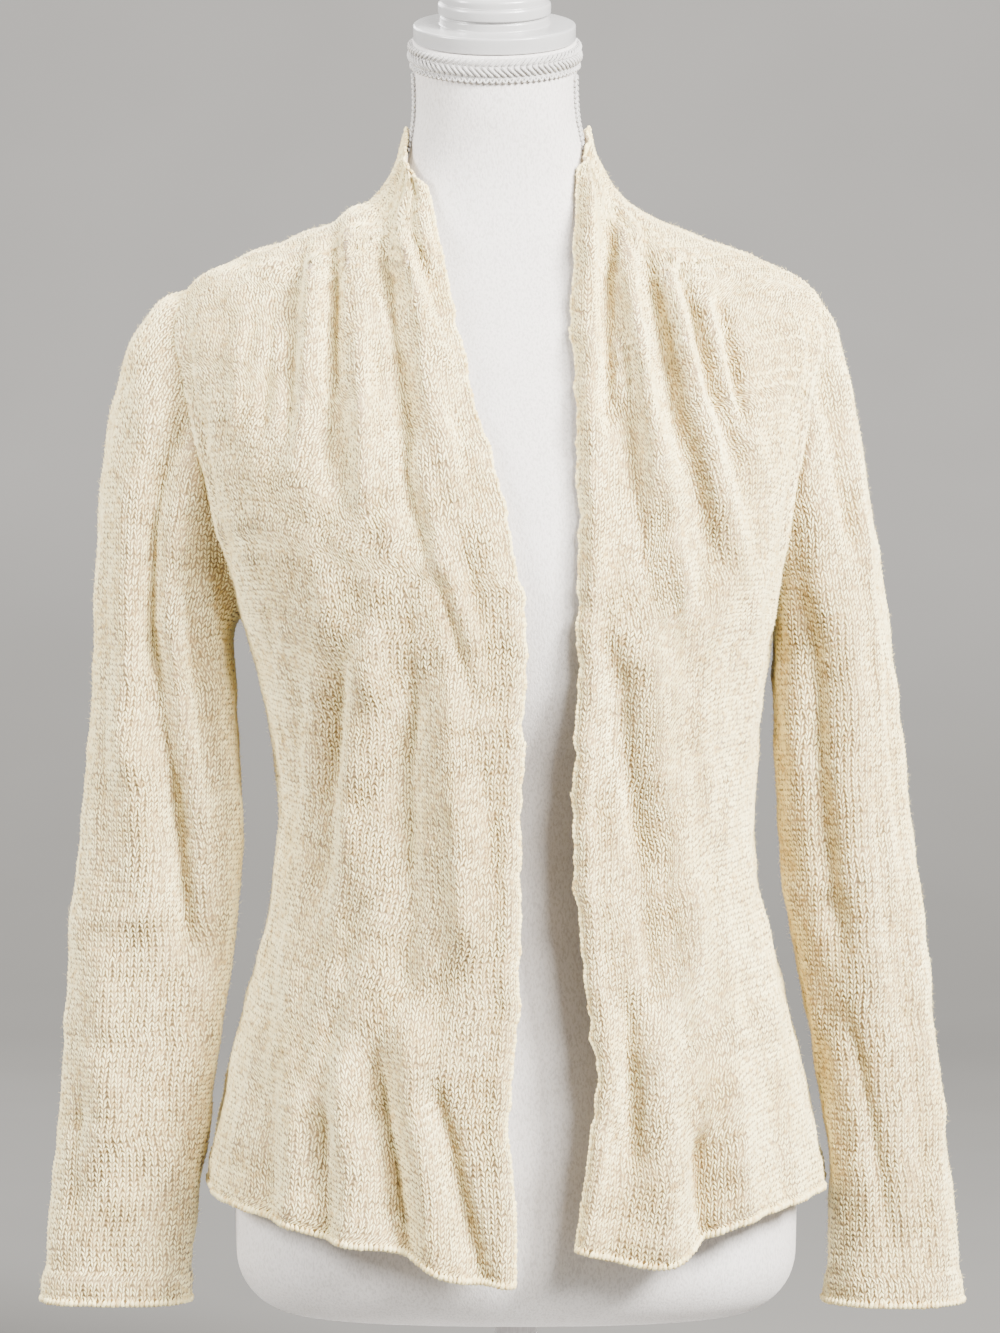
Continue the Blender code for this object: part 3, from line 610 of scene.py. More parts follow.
def lumps(points):
    """Soft unevenness of loose knit: a sum of seeded plane waves, the same on both sides of a seam."""
    random = np.random.default_rng(LUMP_SEED)
    heading = unit(random.normal(size=(LUMP_WAVES, 3)) * LUMP_HEADINGS)
    length = random.uniform(*LUMP_LENGTHS, LUMP_WAVES)
    phase = random.uniform(0, 2 * math.pi, LUMP_WAVES)
    waves = np.sin(points.reshape(-1, 3) @ (heading * (2 * math.pi / length[:, None])).T + phase)
    return LUMP_HEIGHT * waves.sum(axis=1).reshape(points.shape[:2]) / math.sqrt(LUMP_WAVES / 2)


def hem_band(points):
    """The thicker turned edge at a hem or cuff: a low step a little way up every column."""
    return HEM_BAND_HEIGHT * (1 - smoothstep((run_along(points, 0) - HEM_BAND) / HEM_BAND_STEP))


def held_off(height, room):
    """Troughs limited to the room that the cloth has over the form, by a hyperbolic tangent."""
    depth = np.maximum(room - LEAST_CLEARANCE, LEAST_TROUGH)
    return np.where(height < 0, -depth * np.tanh(-height / depth), height)


def shoulder_lift(z):
    """A little more room over the form's sloping shoulders: a bell-shaped rise round one level."""
    return SHOULDER_LIFT * bell(z - SHOULDER_LIFT_LEVEL, SHOULDER_LIFT_SPAN)


def room_over_form(z, turn, face):
    """Ease of the cloth at an angle: the side's and the face's, weighed by squares of cosine and sine."""
    return ease("side", z) * np.cos(turn) ** 2 + ease(face, z) * np.sin(turn) ** 2


def edge_wave(z, panel):
    """Small sideways wander of a front edge: sines of unlike lengths, faded out at the hem and the neck."""
    start = EDGE_WAVE_START[panel]
    waves = [np.sin(2 * math.pi * z / length + start * length) for length in EDGE_WAVE_LENGTHS]
    fade = smoothstep((z - SIDE_HEM) / EDGE_WAVE_FADE) * smoothstep((NECK_SEAM - z) / EDGE_WAVE_FADE)
    return EDGE_WAVE * sum(waves) / 2 * fade


def reach_from_edge(points, from_last):
    """Distance along each row from its first or last point."""
    reach = run_along(points, 1)
    return reach[:, -1:] - reach if from_last else reach


def edge_roll(reach, z):
    """The knit's own curl along a front edge, and the shawl's rolls that run with the edge higher up: bells
    that sway, swell and sink in sines, and draw together towards the neck."""
    total = ROLL_HEIGHT * bell(reach - ROLL_PLACE, ROLL_WIDTH) - ROLL_TUCK * bell(reach, ROLL_TIGHTNESS)
    rise = smoothstep((z - SHAWL_START) / (SHAWL_FULL - SHAWL_START))
    narrowing = 1 - SHAWL_NARROWING * smoothstep((z - SHAWL_FULL) / (COLLAR_TOP - SHAWL_FULL))
    for place, half_width, height, drift in SHAWL_ROLLS:
        sway = SHAWL_SWAY * np.sin(2 * math.pi * z / SHAWL_SWAY_LENGTH + drift)
        swing = np.sin(2 * math.pi * z / SHAWL_STRENGTH_LENGTH + SHAWL_STRENGTH_DRIFT * drift)
        strength = SHAWL_STRENGTH + SHAWL_STRENGTH_SWING * swing
        total = total + height * strength * rise * bell(reach - (place + sway) * narrowing, half_width)
    return total


def armhole_band(reach, z):
    """Raised strip along a front's armhole edge: a low step with a groove behind it, faded at both ends."""
    (low_gap, low_fade), (high_gap, high_fade) = ARMHOLE_BAND_LOW, ARMHOLE_BAND_HIGH
    above = smoothstep((z - UNDERARM - low_gap) / low_fade)
    below = smoothstep((SHOULDER_END - high_gap - z) / high_fade)
    step = 1 - smoothstep((reach - ARMHOLE_BAND) / ARMHOLE_BAND_STEP)
    groove = bell(reach - ARMHOLE_BAND - ARMHOLE_BAND_STEP, ARMHOLE_BAND_STEP)
    return above * below * (ARMHOLE_BAND_HEIGHT * step - ARMHOLE_BAND_GROOVE * groove)


def front_grid(panel):
    """Middle surface of a front, hem to neck: the body's sections, with folds, roll and lumps on normals."""
    levels = row_levels()[:, None]
    share = np.linspace(0, 1, FRONT_COLUMNS + 1)[None, :] ** FRONT_CROWDING
    drop = column(HEM_SECTIONS, HEM_COLUMNS, panel, share)
    hem_pull = 1 - smoothstep((levels - SIDE_HEM) / (HEM_LIFT_END - SIDE_HEM))
    neck_pull = smoothstep((levels - NECK_DROP_START) / (COLLAR_TOP - NECK_DROP_START))
    z = levels - drop * hem_pull - NECK_DROP[panel] * share ** 2 * neck_pull
    side = turn_at_side(z, armhole(levels + 0 * z, ARMHOLE_FRONT - SEAM_TUCK), "front")
    edge = turn_at_x(z, column(EDGE_SECTIONS, EDGE_COLUMNS, panel, z) + edge_wave(z, panel))
    if panel == "left_front":
        side = math.pi - side
    turn = side + (edge - side) * share
    points = body_point(z, turn, "front")
    if panel == "left_front":
        points, turn, z = points[:, ::-1], turn[:, ::-1], z[:, ::-1]
    room = room_over_form(z, turn, "front")
    from_seam = reach_from_edge(points, panel == "left_front")
    at_seam = smoothstep((z - SHOULDER_FADE_START) / (SHOULDER_END - SHOULDER_FADE_START))
    height = fold_height(FRONT_FOLDS[panel], points[..., 0], z, True)
    height *= 1 - at_seam * (1 - smoothstep(from_seam / SHOULDER_FADE))
    height += armhole_band(from_seam, z)
    height += edge_roll(reach_from_edge(points, panel == "right_front"), z) + lumps(points) + hem_band(points)
    return points + (held_off(height, room) + shoulder_lift(z))[..., None] * normals(points)


def back_rows(levels, half_width):
    """Level rows round the back from the left side to the right one, and their room over the form."""
    share = np.linspace(0, 1, BACK_COLUMNS + 1)[None, :]
    z = levels[:, None] + 0 * share
    side = turn_at_side(z, armhole(z, half_width), "back")
    turn = math.pi - side - (math.pi - 2 * side) * share
    return body_point(z, turn, "back"), room_over_form(z, turn, "back")


def back_grid():
    """Middle surface of the back, hem to neck seam: the body's sections, with folds and lumps on normals."""
    levels = row_levels()
    points, room = back_rows(levels[levels < NECK_SEAM + SEAM_GAP], ARMHOLE_BACK - SEAM_TUCK)
    z = points[..., 2]
    height = fold_height(BACK_FOLDS, points[..., 0], z, True) + lumps(points) + hem_band(points)
    return points + (held_off(height, room) + shoulder_lift(z))[..., None] * normals(points)


def collar_grid():
    """Middle surface of the collar, round the back of the neck, with lumps along normals."""
    points, room = back_rows(np.linspace(NECK_SEAM + SEAM_GAP, COLLAR_TOP, COLLAR_ROWS + 1), 0.0)
    return points + held_off(lumps(points), room)[..., None] * normals(points)


def sleeve_grid(side):
    """Middle surface of a sleeve, cuff to armhole, from the underarm round by the front or back to it again.

    The cap is a quadratic curve from each point of the armhole to the first level section, and the rest is
    superellipses. Angle 0 is the outer side and 90 degrees the front. The first column isn't repeated.
    """
    outward = -1 if side == "right" else 1
    table = SLEEVE_SECTIONS[side]
    turn = np.linspace(-math.pi, math.pi, SLEEVE_COLUMNS_ROUND, endpoint=False)
    level = UNDERARM + (SHOULDER_END - UNDERARM) * (1 + np.cos(turn)) / 2
    before = body_point(level, turn_at_side(level, armhole(level, ARMHOLE_FRONT), "front"), "front")
    behind = body_point(level, turn_at_side(level, armhole(level, ARMHOLE_BACK), "back"), "back")
    ring = np.where((np.sin(turn) >= 0)[:, None], before, behind)
    if side == "left":
        ring[:, 0] = 2 * form_size("centre_x", level) - ring[:, 0]
    ring[:, 0] += outward * SLEEVE_SEAT[side]

    def section(z):
        outer = column(table, SLEEVE_COLUMNS, "outer", z)
        inner = column(table, SLEEVE_COLUMNS, "inner", z)
        depth = column(table, SLEEVE_COLUMNS, "half_depth", z)
        x = (outer + inner) / 2 + (outer - inner) / 2 * bent(np.cos(turn), 2 / SLEEVE_SQUARENESS)
        y = column(table, SLEEVE_COLUMNS, "centre_y", z) - depth * bent(np.sin(turn), 2 / SLEEVE_SQUARENESS)
        return np.stack([x, y, z + 0 * turn], axis=-1)

    first = section(SLEEVE_CAP_END)
    spring = ring[:, 0] + CAP_SPRING[side] * (first[:, 0] - ring[:, 0])
    droop = ring[:, 2] - CAP_DROP * (1 + np.cos(turn)) / 2
    elbow = np.stack([spring, (ring[:, 1] + first[:, 1]) / 2, droop], axis=-1)
    share = np.linspace(0, 1, SLEEVE_CAP_ROWS + 1)[:, None, None]
    cap = (1 - share) ** 2 * ring + 2 * share * (1 - share) * elbow + share * share * first
    level = np.linspace(SLEEVE_CAP_END, SLEEVE_CUFF, SLEEVE_ROWS + 1)[1:, None]
    points = np.concatenate([cap, section(level)])[::-1]
    around = np.broadcast_to(np.degrees(turn) % 360.0, points.shape[:2])
    if side == "left":
        points, around = points[:, ::-1], around[:, ::-1]
    z = points[..., 2]
    height = fold_height(SLEEVE_FOLDS[side], around, z)
    height += cross_height(SLEEVE_CROSSES[side], around, z)
    seam_fade = smoothstep(np.arange(len(points))[::-1] / SEAM_FADE_ROWS)[:, None]
    height = height * seam_fade + lumps(points) + hem_band(points)
    return points + height[..., None] * normals(points, True)


def grid_quads(rows, columns, closed=False):
    """Corner numbers of a grid's quads, numbered row by row, joined round where it is closed."""
    i = np.arange(rows - 1)[:, None]
    j = np.arange(columns if closed else columns - 1)[None, :]
    k = (j + 1) % columns
    corners = [i * columns + j, i * columns + k, (i + 1) * columns + k, (i + 1) * columns + j]
    return np.stack(corners, axis=-1).reshape(-1, 4)


def add_piece(name, points, faces, finish, slot, maps=None, node=None):
    """A smooth piece from points in millimetres and arrays of corner numbers, riding on the part's body."""
    mesh = bpy.data.meshes.new(name)
    places = (np.asarray(points, float).reshape(-1, 3) * MM).astype(np.float32)
    mesh.vertices.add(len(places))
    mesh.vertices.foreach_set("co", places.ravel())
    corners = np.concatenate([group.ravel() for group in faces]).astype(np.int32)
    sizes = np.concatenate([np.full(len(group), group.shape[1]) for group in faces])
    mesh.loops.add(len(corners))
    mesh.loops.foreach_set("vertex_index", corners)
    mesh.polygons.add(len(sizes))
    mesh.polygons.foreach_set("loop_start", (np.cumsum(sizes) - sizes).astype(np.int32))
    for map_name, values in (maps or {}).items():
        layer = mesh.uv_layers.new(name=map_name)
        layer.data.foreach_set("uv", np.asarray(values, np.float32).ravel())
    mesh.update(calc_edges=True)
    mesh.validate()
    mesh.shade_smooth()
    mesh.materials.append(finish)
    made = linked(name, mesh)
    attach(made, "root")
    if node:
        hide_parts(node)
    return made


class Panel:
    """A cloth panel: its middle surface, and that surface resampled so that its rows are knitted courses."""

    def __init__(self, name, points, zero, closed=False):
        self.name = name
        self.points = points
        self.closed = closed
        self.normals = normals(points, closed)
        self.full, self.full_normals = points, self.normals
        if closed:
            self.full = np.concatenate([points, points[:, :1]], axis=1)
            self.full_normals = np.concatenate([self.normals, self.normals[:, :1]], axis=1)
        self.lay_courses(self.full, self.full_normals, zero)

    def lay_courses(self, points, facing, zero):
        """Points a course apart up every column, and their distances along each course from column zero."""
        rows, columns = points.shape[:2]
        rise = run_along(points, 0)
        self.column_rise = rise
        wanted = np.arange(int(rise[-1].max() / COURSE) + 1)[:, None] * COURSE
        lift = np.arange(columns)[None, :] * (2 * rise.max())
        known = (rise + lift).T.ravel()
        asked = (np.minimum(wanted, rise[-1]) + lift).T.ravel()
        foot = np.repeat(np.arange(columns), len(wanted)) * rows
        spot = np.clip(np.searchsorted(known, asked, side="right") - 1, foot, foot + rows - 2)
        share = ((asked - known[spot]) / (known[spot + 1] - known[spot]))[:, None]
        by_column = points.transpose(1, 0, 2).reshape(-1, 3)
        facing_by_column = facing.transpose(1, 0, 2).reshape(-1, 3)
        shape = (columns, len(wanted), 3)
        place = by_column[spot] + share * (by_column[spot + 1] - by_column[spot])
        face = facing_by_column[spot] + share * (facing_by_column[spot + 1] - facing_by_column[spot])
        self.course_points = place.reshape(shape).transpose(1, 0, 2)
        self.course_normals = unit(face).reshape(shape).transpose(1, 0, 2)
        self.knitted = wanted <= rise[-1]
        along = run_along(self.course_points, 1)
        self.along = along - along[:, zero][:, None]

    def columns_at(self, course, u):
        """Column numbers, with their fractions, at which courses pass the distance u."""
        count = self.along.shape[1]
        far = 4 * np.abs(self.along).max()
        known = (self.along + np.arange(len(self.along))[:, None] * far).ravel()
        asked = np.clip(u, self.along[course, 0], self.along[course, -1]) + course * far
        first = course * count
        spot = np.clip(np.searchsorted(known, asked, side="right") - 1, first, first + count - 2)
        return spot - first + (asked - known[spot]) / np.maximum(known[spot + 1] - known[spot], 1e-9)

    def lay(self, u, v, lift):
        """Places at distances u along and v up the cloth, lifted off its middle surface, with normals."""
        row = np.clip(v / COURSE, 0, len(self.along) - 1.001)
        low = row.astype(int)
        up = (row - low)[..., None]
        places = 0.0
        facing = 0.0
        for course, weight in ((low, 1 - up), (low + 1, up)):
            at = self.columns_at(course, u)
            left = np.clip(at.astype(int), 0, self.along.shape[1] - 2)
            part = (at - left)[..., None]
            for k, share in ((left, 1 - part), (left + 1, part)):
                places = places + weight * share * self.course_points[course, k]
                facing = facing + weight * share * self.course_normals[course, k]
        facing = unit(facing)
        return places + lift[..., None] * facing, facing

    def stitches(self):
        """Course and wale distances of the middle of each whole stitch."""
        courses = np.arange(1, len(self.along) - 1)
        wales = np.arange(math.floor(self.along.min() / WALE), math.ceil(self.along.max() / WALE))
        course, wale = np.meshgrid(courses, wales, indexing="ij")
        u = (wale + 0.5) * WALE
        inside = (u > self.along[course, 0] + STITCH_MARGIN) & (u < self.along[course, -1] - STITCH_MARGIN)
        course, u = course[inside], u[inside]
        column_number = np.clip(np.round(self.columns_at(course, u)).astype(int), 0, self.along.shape[1] - 1)
        whole = self.knitted[course - 1, column_number]
        return u[whole], course[whole] * COURSE

    def bake_map(self, u, v):
        """Places on a square map: distances as shares of the panel's largest ones."""
        low, high = self.along.min(), self.along.max()
        top = len(self.along) * COURSE
        return np.stack([(u - low) / (high - low), v / top], axis=-1)


def cloth_shell(panel, finish):
    """The panel's thin shell: an outer and an inner skin along its normals, closed round every free edge."""
    rows, columns = panel.points.shape[:2]
    outer = panel.points + panel.normals * SKIN_OUT
    inner = panel.points - panel.normals * SKIN_IN
    count = rows * columns
    skin = grid_quads(rows, columns, panel.closed)
    j = np.arange(columns if panel.closed else columns - 1)
    k = (j + 1) % columns
    top = (rows - 1) * columns
    rims = [
        np.stack([j, count + j, count + k, k], axis=1),
        np.stack([top + j, top + k, count + top + k, count + top + j], axis=1),
    ]
    if not panel.closed:
        low = np.arange(rows - 1) * columns
        high = low + columns
        last = columns - 1
        rims.append(np.stack([low, high, count + high, count + low], axis=1))
        rims.append(np.stack([low + last, count + low + last, count + high + last, high + last], axis=1))
    faces = np.concatenate([skin, skin[:, ::-1] + count, *rims])
    width = panel.full.shape[1]
    u = run_along(panel.full, 1)
    u = u - u[:, width // 2][:, None]
    v = panel.column_rise
    flat = np.stack([u / WALE, v / COURSE], axis=-1).reshape(-1, 2)
    share = np.stack([(u - u.min()) / np.ptp(u), v / v.max()], axis=-1).reshape(-1, 2) * SKIN_MAP
    on_skin = grid_quads(rows, width)
    stitch = np.concatenate([flat[on_skin], flat[on_skin[:, ::-1]] + (INNER_WALES, 0.0)]).reshape(-1, 2)
    baked = np.concatenate([share[on_skin], share[on_skin[:, ::-1]] + (INNER_MAP_START, 0.0)]).reshape(-1, 2)
    rim = np.tile(RIM_MAP, (len(faces) - 2 * len(skin), 1))
    maps = {"stitches": np.concatenate([stitch, 0 * rim]), "OFBake": np.concatenate([baked, rim])}
    points = np.concatenate([outer.reshape(-1, 3), inner.reshape(-1, 3)])
    return add_piece(f"{panel.name}_cloth", points, [faces], finish, "knit_cream", maps, panel.name)


def yarn_legs(panel, finish, seed):
    """The knit's face: two slanted legs a stitch, each a closed sliver with a ridge from foot to head.

    A foot starts low by the middle of its wale and its head rises over the next stitch by the wale's side.
    Each stitch is shifted and sized a little by seeded noise.
    """
    random = np.random.default_rng(seed)
    u, v = panel.stitches()
    count = len(u)
    shift = random.normal(0, LEG_UNEVENNESS, (2, count))
    grow = random.uniform(*LEG_SIZES, count)
    flank = np.full(count, LEG_FLANK_LIFT)
    lift = np.stack([np.full(count, LEG_FOOT[2]), LEG_HEAD[2] * grow, flank, flank], axis=1)
    legs = []
    for side in (-1, 1):
        foot = np.stack([u + shift[0] + side * LEG_FOOT[0], v + shift[1] + LEG_FOOT[1]])
        head = np.stack([u + shift[0] + side * LEG_HEAD[0] * grow, v + shift[1] + LEG_HEAD[1]])
        middle = (foot + head) / 2
        along_u, along_v = (head - foot) / np.hypot(*(head - foot))
        across = np.stack([along_v * LEG_HALF_WIDTH * grow, -along_u * LEG_HALF_WIDTH])
        legs.append((*np.stack([foot, head, middle - across, middle + across], axis=-1), lift))
    leg_u, leg_v, lift = (np.concatenate(parts) for parts in zip(*legs))
    points, facing = panel.lay(leg_u, leg_v, lift)
    sideways = unit(points[:, 3:] - points[:, 2:3]) * np.array([0.0, 0.0, -1.0, 1.0])[:, None]
    facing = unit(facing * np.array([1.0, 1.0, LEG_ROUNDNESS, LEG_ROUNDNESS])[:, None] + sideways)
    sliver = np.array([[0, 3, 1], [0, 1, 2], [0, 2, 3], [1, 3, 2]])
    faces = (np.arange(len(leg_u))[:, None, None] * 4 + sliver).reshape(-1, 3)
    spots = panel.bake_map(leg_u, leg_v).reshape(-1, 2)
    maps = {"OFBake": spots[faces.ravel()]}
    legs = add_piece(f"{panel.name}_yarn", points, [faces], finish, "knit_cream", maps)
    legs.data.normals_split_custom_set_from_vertices(facing.reshape(-1, 3))
    return legs


def rods(paths, radii, facing, sides):
    """Closed rods along many short paths at once: a ring of points round each inner path point, and a point
    at each end. The rings stand square to the path, and the first point of each faces outwards."""
    count, length = paths.shape[:2]
    along = unit(np.gradient(paths, axis=1))
    side = unit(np.cross(along, facing))
    out = np.cross(side, along)
    turn = np.arange(sides) * (2 * math.pi / sides)
    spoke = np.cos(turn)[:, None] * out[:, 1:-1, None, :] + np.sin(turn)[:, None] * side[:, 1:-1, None, :]
    rings = paths[:, 1:-1, None, :] + radii[..., 1:-1, None, None] * spoke
    points = np.concatenate([paths[:, :1], rings.reshape(count, -1, 3), paths[:, -1:]], axis=1)
    size = points.shape[1]
    j = np.arange(sides)
    k = (j + 1) % sides
    last = 1 + (length - 3) * sides
    tips = np.concatenate([
        np.stack([0 * j, 1 + k, 1 + j], axis=1),
        np.stack([0 * j + size - 1, last + j, last + k], axis=1),
    ])
    start = np.arange(count)[:, None, None] * size
    faces = [(start + tips).reshape(-1, 3)]
    if length > 3:
        walls = 1 + grid_quads(length - 2, sides, True)
        faces.append((start + walls).reshape(-1, 4))
    return points.reshape(-1, 3), faces


def joined(groups):
    """Several groups of points and faces as one."""
    points = np.concatenate([group[0] for group in groups])
    starts = np.cumsum([0] + [len(group[0]) for group in groups])
    faces = [part + start for (_, parts), start in zip(groups, starts) for part in parts]
    return points, faces


def edge_places(panel, which, pitch, rows=slice(None)):
    """Places a pitch apart along one edge of a panel, with the cloth's normal, the way out of the cloth and
    the way along the edge at each."""
    points, facing = panel.full, panel.full_normals
    if which in ("first", "last"):
        points, facing = points.swapaxes(0, 1), facing.swapaxes(0, 1)
    edge, beside = (0, 1) if which in ("hem", "first") else (-1, -2)
    line, inward, face = points[edge][rows], points[beside][rows], facing[edge][rows]
    run = run_along(line, 0)
    count = max(1, int(run[-1] / pitch))
    at = (np.arange(count) + 0.5) * run[-1] / count

    def spread(values):
        return np.stack([np.interp(at, run, values[:, axis]) for axis in range(3)], axis=1)

    place = spread(line)
    return place, unit(spread(face)), unit(spread(line - inward)), unit(np.gradient(place, axis=0))


def edge_rods(places, out_by, up_by, along_by, radii, facing, sides):
    """Rods at places along an edge, each through points that lie given distances out of the cloth, up its
    face and along the edge."""
    point, face, out, along = places
    paths = point[:, None] + out_by[..., None] * out[:, None] + up_by[..., None] * face[:, None]
    paths = paths + along_by[..., None] * along[:, None]
    return rods(paths, radii, np.broadcast_to(facing[:, None], paths.shape), sides)


def hem_loops(places, radius, random):
    """Cast-on edge: short leaning rods side by side, each from under the edge up on to the face."""
    each = (len(places[0]), 1)
    lean = random.normal(*HEM_LOOP_LEAN, each) * ROD_RUN
    radii = radius * HEM_LOOP_TAPER * random.uniform(*ROD_SIZES, each)
    return edge_rods(places, HEM_LOOP_OUT, HEM_LOOP_UP, lean, radii, unit(places[1] + places[2]), ROD_SIDES)


def selvedge(places, radius, random):
    """Rolled edge: leaning rods end over end along the edge, one a course, over the cloth's rim."""
    each = (len(places[0]), 1)
    out_by = random.normal(*SELVEDGE_SWAY, each) + SELVEDGE_OUT
    radii = radius * SELVEDGE_TAPER * random.uniform(*ROD_SIZES, each)
    facing = unit(places[1] + places[2])
    return edge_rods(places, out_by, SELVEDGE_UP, SELVEDGE_ALONG, radii, facing, ROD_SIDES)


def seam_stitches(places, radius, random):
    """A sewn seam: short slanted rods that cross the edge over the gap between two panels."""
    each = (len(places[0]), 1)
    lean = random.normal(*SEAM_LEAN, each) * ROD_RUN
    radii = radius * SEAM_TAPER * random.uniform(*SEAM_SIZES, each)
    return edge_rods(places, SEAM_OUT, SEAM_UP, lean, radii, places[1], SEAM_SIDES)


def hair_roots(panel, count, random):
    """Seeded places spread evenly over a panel's area, with the cloth's normal and a way along it at each."""
    low, high = panel.full[:-1, :-1], panel.full[1:, 1:]
    across = np.cross(high - low, panel.full[1:, :-1] - panel.full[:-1, 1:])
    size = np.linalg.norm(across, axis=2).ravel()
    cell = random.choice(len(size), count, p=size / size.sum())
    facing = unit(across).reshape(-1, 3)[cell]
    place = low.reshape(-1, 3)[cell] + random.random((count, 1)) * (high - low).reshape(-1, 3)[cell]
    lean = unit(random.normal(size=(count, 3)))
    return place, facing, unit(lean - (lean * facing).sum(axis=1, keepdims=True) * facing)


def short_hairs(panel, count, random):
    """The knit's soft nap: straight three-sided spikes from a small root to a point, flat or standing."""
    place, facing, lean = hair_roots(panel, count, random)
    place = place + HAIR_ROOT * facing
    length = random.uniform(*HAIR_LENGTHS, (count, 1))
    tip = place + length * unit(lean + random.uniform(*HAIR_STAND, (count, 1)) * facing)
    along = unit(tip - place)
    side = np.cross(along, facing)
    turn = np.arange(3) * (2 * math.pi / 3)
    spoke = np.cos(turn)[:, None] * np.cross(side, along)[:, None] + np.sin(turn)[:, None] * side[:, None]
    root = place[:, None] + random.uniform(*HAIR_RADII, (count, 1, 1)) * spoke
    points = np.concatenate([root, tip[:, None]], axis=1).reshape(-1, 3)
    spike = np.array([[0, 2, 1], [0, 1, 3], [1, 2, 3], [2, 0, 3]])
    return points, [(np.arange(count)[:, None, None] * 4 + spike).reshape(-1, 3)]


def form_ring(z, turn, offset=0.0):
    """Superellipse of the form's cover at a height, moved out by an offset and tilted up the neck."""
    z, turn, offset = np.broadcast_arrays(*(np.asarray(value, float) for value in (z, turn, offset)))
    squareness = form_size("squareness", z)
    half_width = form_size("half_width", z) + offset
    depth = np.where(np.sin(turn) > 0, form_size("front", z), form_size("back", z)) + offset
    x = -half_width * bent(np.cos(turn), 2 / squareness)
    y = -depth * bent(np.sin(turn), 2 / squareness)
    tilt = smoothstep((z - NECK_TILT_START) / (NECK_TILT_END - NECK_TILT_START))
    rise = math.tan(NECK_TILT) * y * tilt
    return np.stack([x + form_size("centre_x", z), y + form_size("centre_y", z), z + rise], axis=-1)


def capped(rings):
    """Points and faces of a closed solid through rings, with a middle point at each end."""
    rows, columns = rings.shape[:2]
    points = np.concatenate([rings.reshape(-1, 3), rings[:1].mean(axis=1), rings[-1:].mean(axis=1)])
    j = np.arange(columns)
    k = (j + 1) % columns
    top = (rows - 1) * columns
    ends = np.concatenate([
        np.stack([k, j, 0 * j + rows * columns], axis=1),
        np.stack([top + j, top + k, 0 * j + rows * columns + 1], axis=1),
    ])
    return points, [grid_quads(rows, columns, True), ends]


def form_cover(finish):
    """The covered form: a rounded bottom edge, then the torso's sections up to the tilted neck."""
    turn = np.linspace(0, 2 * math.pi, FORM_SIDES, endpoint=False)
    angle = np.linspace(0, math.pi / 2, FORM_EDGE_ROWS, endpoint=False)[:, None]
    rise, inset = FORM_EDGE_RADIUS * (1 - np.cos(angle)), FORM_EDGE_RADIUS * (1 - np.sin(angle))
    bottom = form_ring(FORM_BOTTOM + rise, turn, -inset)
    body = form_ring(np.linspace(FORM_BOTTOM + FORM_EDGE_RADIUS, NECK_TOP, FORM_ROWS)[:, None], turn)
    points, faces = capped(np.concatenate([bottom, body]))
    return add_piece("form_cover", points, faces, finish, "form_cover", None, "form_torso")


def turned(name, profile, finish, slot, node, tilt=0.0, centre=(0.0, 0.0, 0.0)):
    """A closed solid turned round its axis from a profile of radii and heights, then tilted and placed."""
    profile = np.array(profile, float)
    turn = np.linspace(0, 2 * math.pi, TURNED_SIDES, endpoint=False)
    radius, height = profile[:, :1], profile[:, 1:]
    rings = np.stack([radius * np.cos(turn), radius * np.sin(turn), height + 0 * turn], axis=-1)
    lean = np.array([
        [1, 0, 0],
        [0, math.cos(tilt), -math.sin(tilt)],
        [0, math.sin(tilt), math.cos(tilt)],
    ])
    points, faces = capped(rings @ lean.T + np.array(centre))
    return add_piece(name, points, faces, finish, slot, None, node)


def rounded(corners, steps=5):
    """A profile with each corner (radius, height, rounding) replaced by a short quadratic curve."""
    corners = np.array(corners, float)
    places, rounding = corners[:, :2], corners[:, 2:]
    before = places[1:-1] + rounding[1:-1] * unit(places[:-2] - places[1:-1])
    after = places[1:-1] + rounding[1:-1] * unit(places[2:] - places[1:-1])
    share = np.linspace(0, 1, steps)[None, :, None]
    first, corner, last = before[:, None], places[1:-1, None], after[:, None]
    curve = (1 - share) ** 2 * first + 2 * share * (1 - share) * corner + share ** 2 * last
    return np.concatenate([places[:1], curve.reshape(-1, 2), places[-1:]])


def neck_cap(finish):
    """Moulded cap on the tilted neck: a disc with eased edges, and a knob with a groove and a lip."""
    corners = (
        (46.5, 0.0, 0),
        (49.0, 0.3, 1.0),
        (49.0, 10.0, 1.6),
        (34.0, 10.3, 0.8),
        (33.0, 10.6, 0.8),
        (33.0, 15.0, 0.8),
        (32.2, 15.5, 0.3),
        (32.2, 16.4, 0.3),
        (34.0, 17.0, 0.6),
        (34.0, 23.0, 1.6),
        (32.6, 24.0, 0.5),
        (32.6, 29.0, 2.4),
        (26.0, 31.0, 2.0),
        (18.0, 31.0, 0),
    )
    middle = [float(form_size(name, NECK_TOP)) for name in ("centre_x", "centre_y")]
    centre = (*middle, NECK_TOP + FIT_GAP)
    turned("cap", rounded(corners), finish, "cap_plastic", "neck_cap", NECK_TILT, centre)


def on_neck(turn, height, offset):
    """Places round the neck and the way out of it, at angles, heights and offsets from the cover."""
    place = form_ring(height, turn, offset)
    return place, unit(form_ring(height, turn, offset + 1.0) - place)


def cords(angle, height, offset, arch, radius):
    """Cords on the neck along paths in angle, height and offset from the cover, thinner at their ends."""
    place, out = on_neck(angle, height, offset)
    thick = np.broadcast_to(radius * np.minimum(1.0, CORD_SWELL * arch + CORD_END), place.shape[:2])
    return rods(place, thick, out, CORD_SIDES)


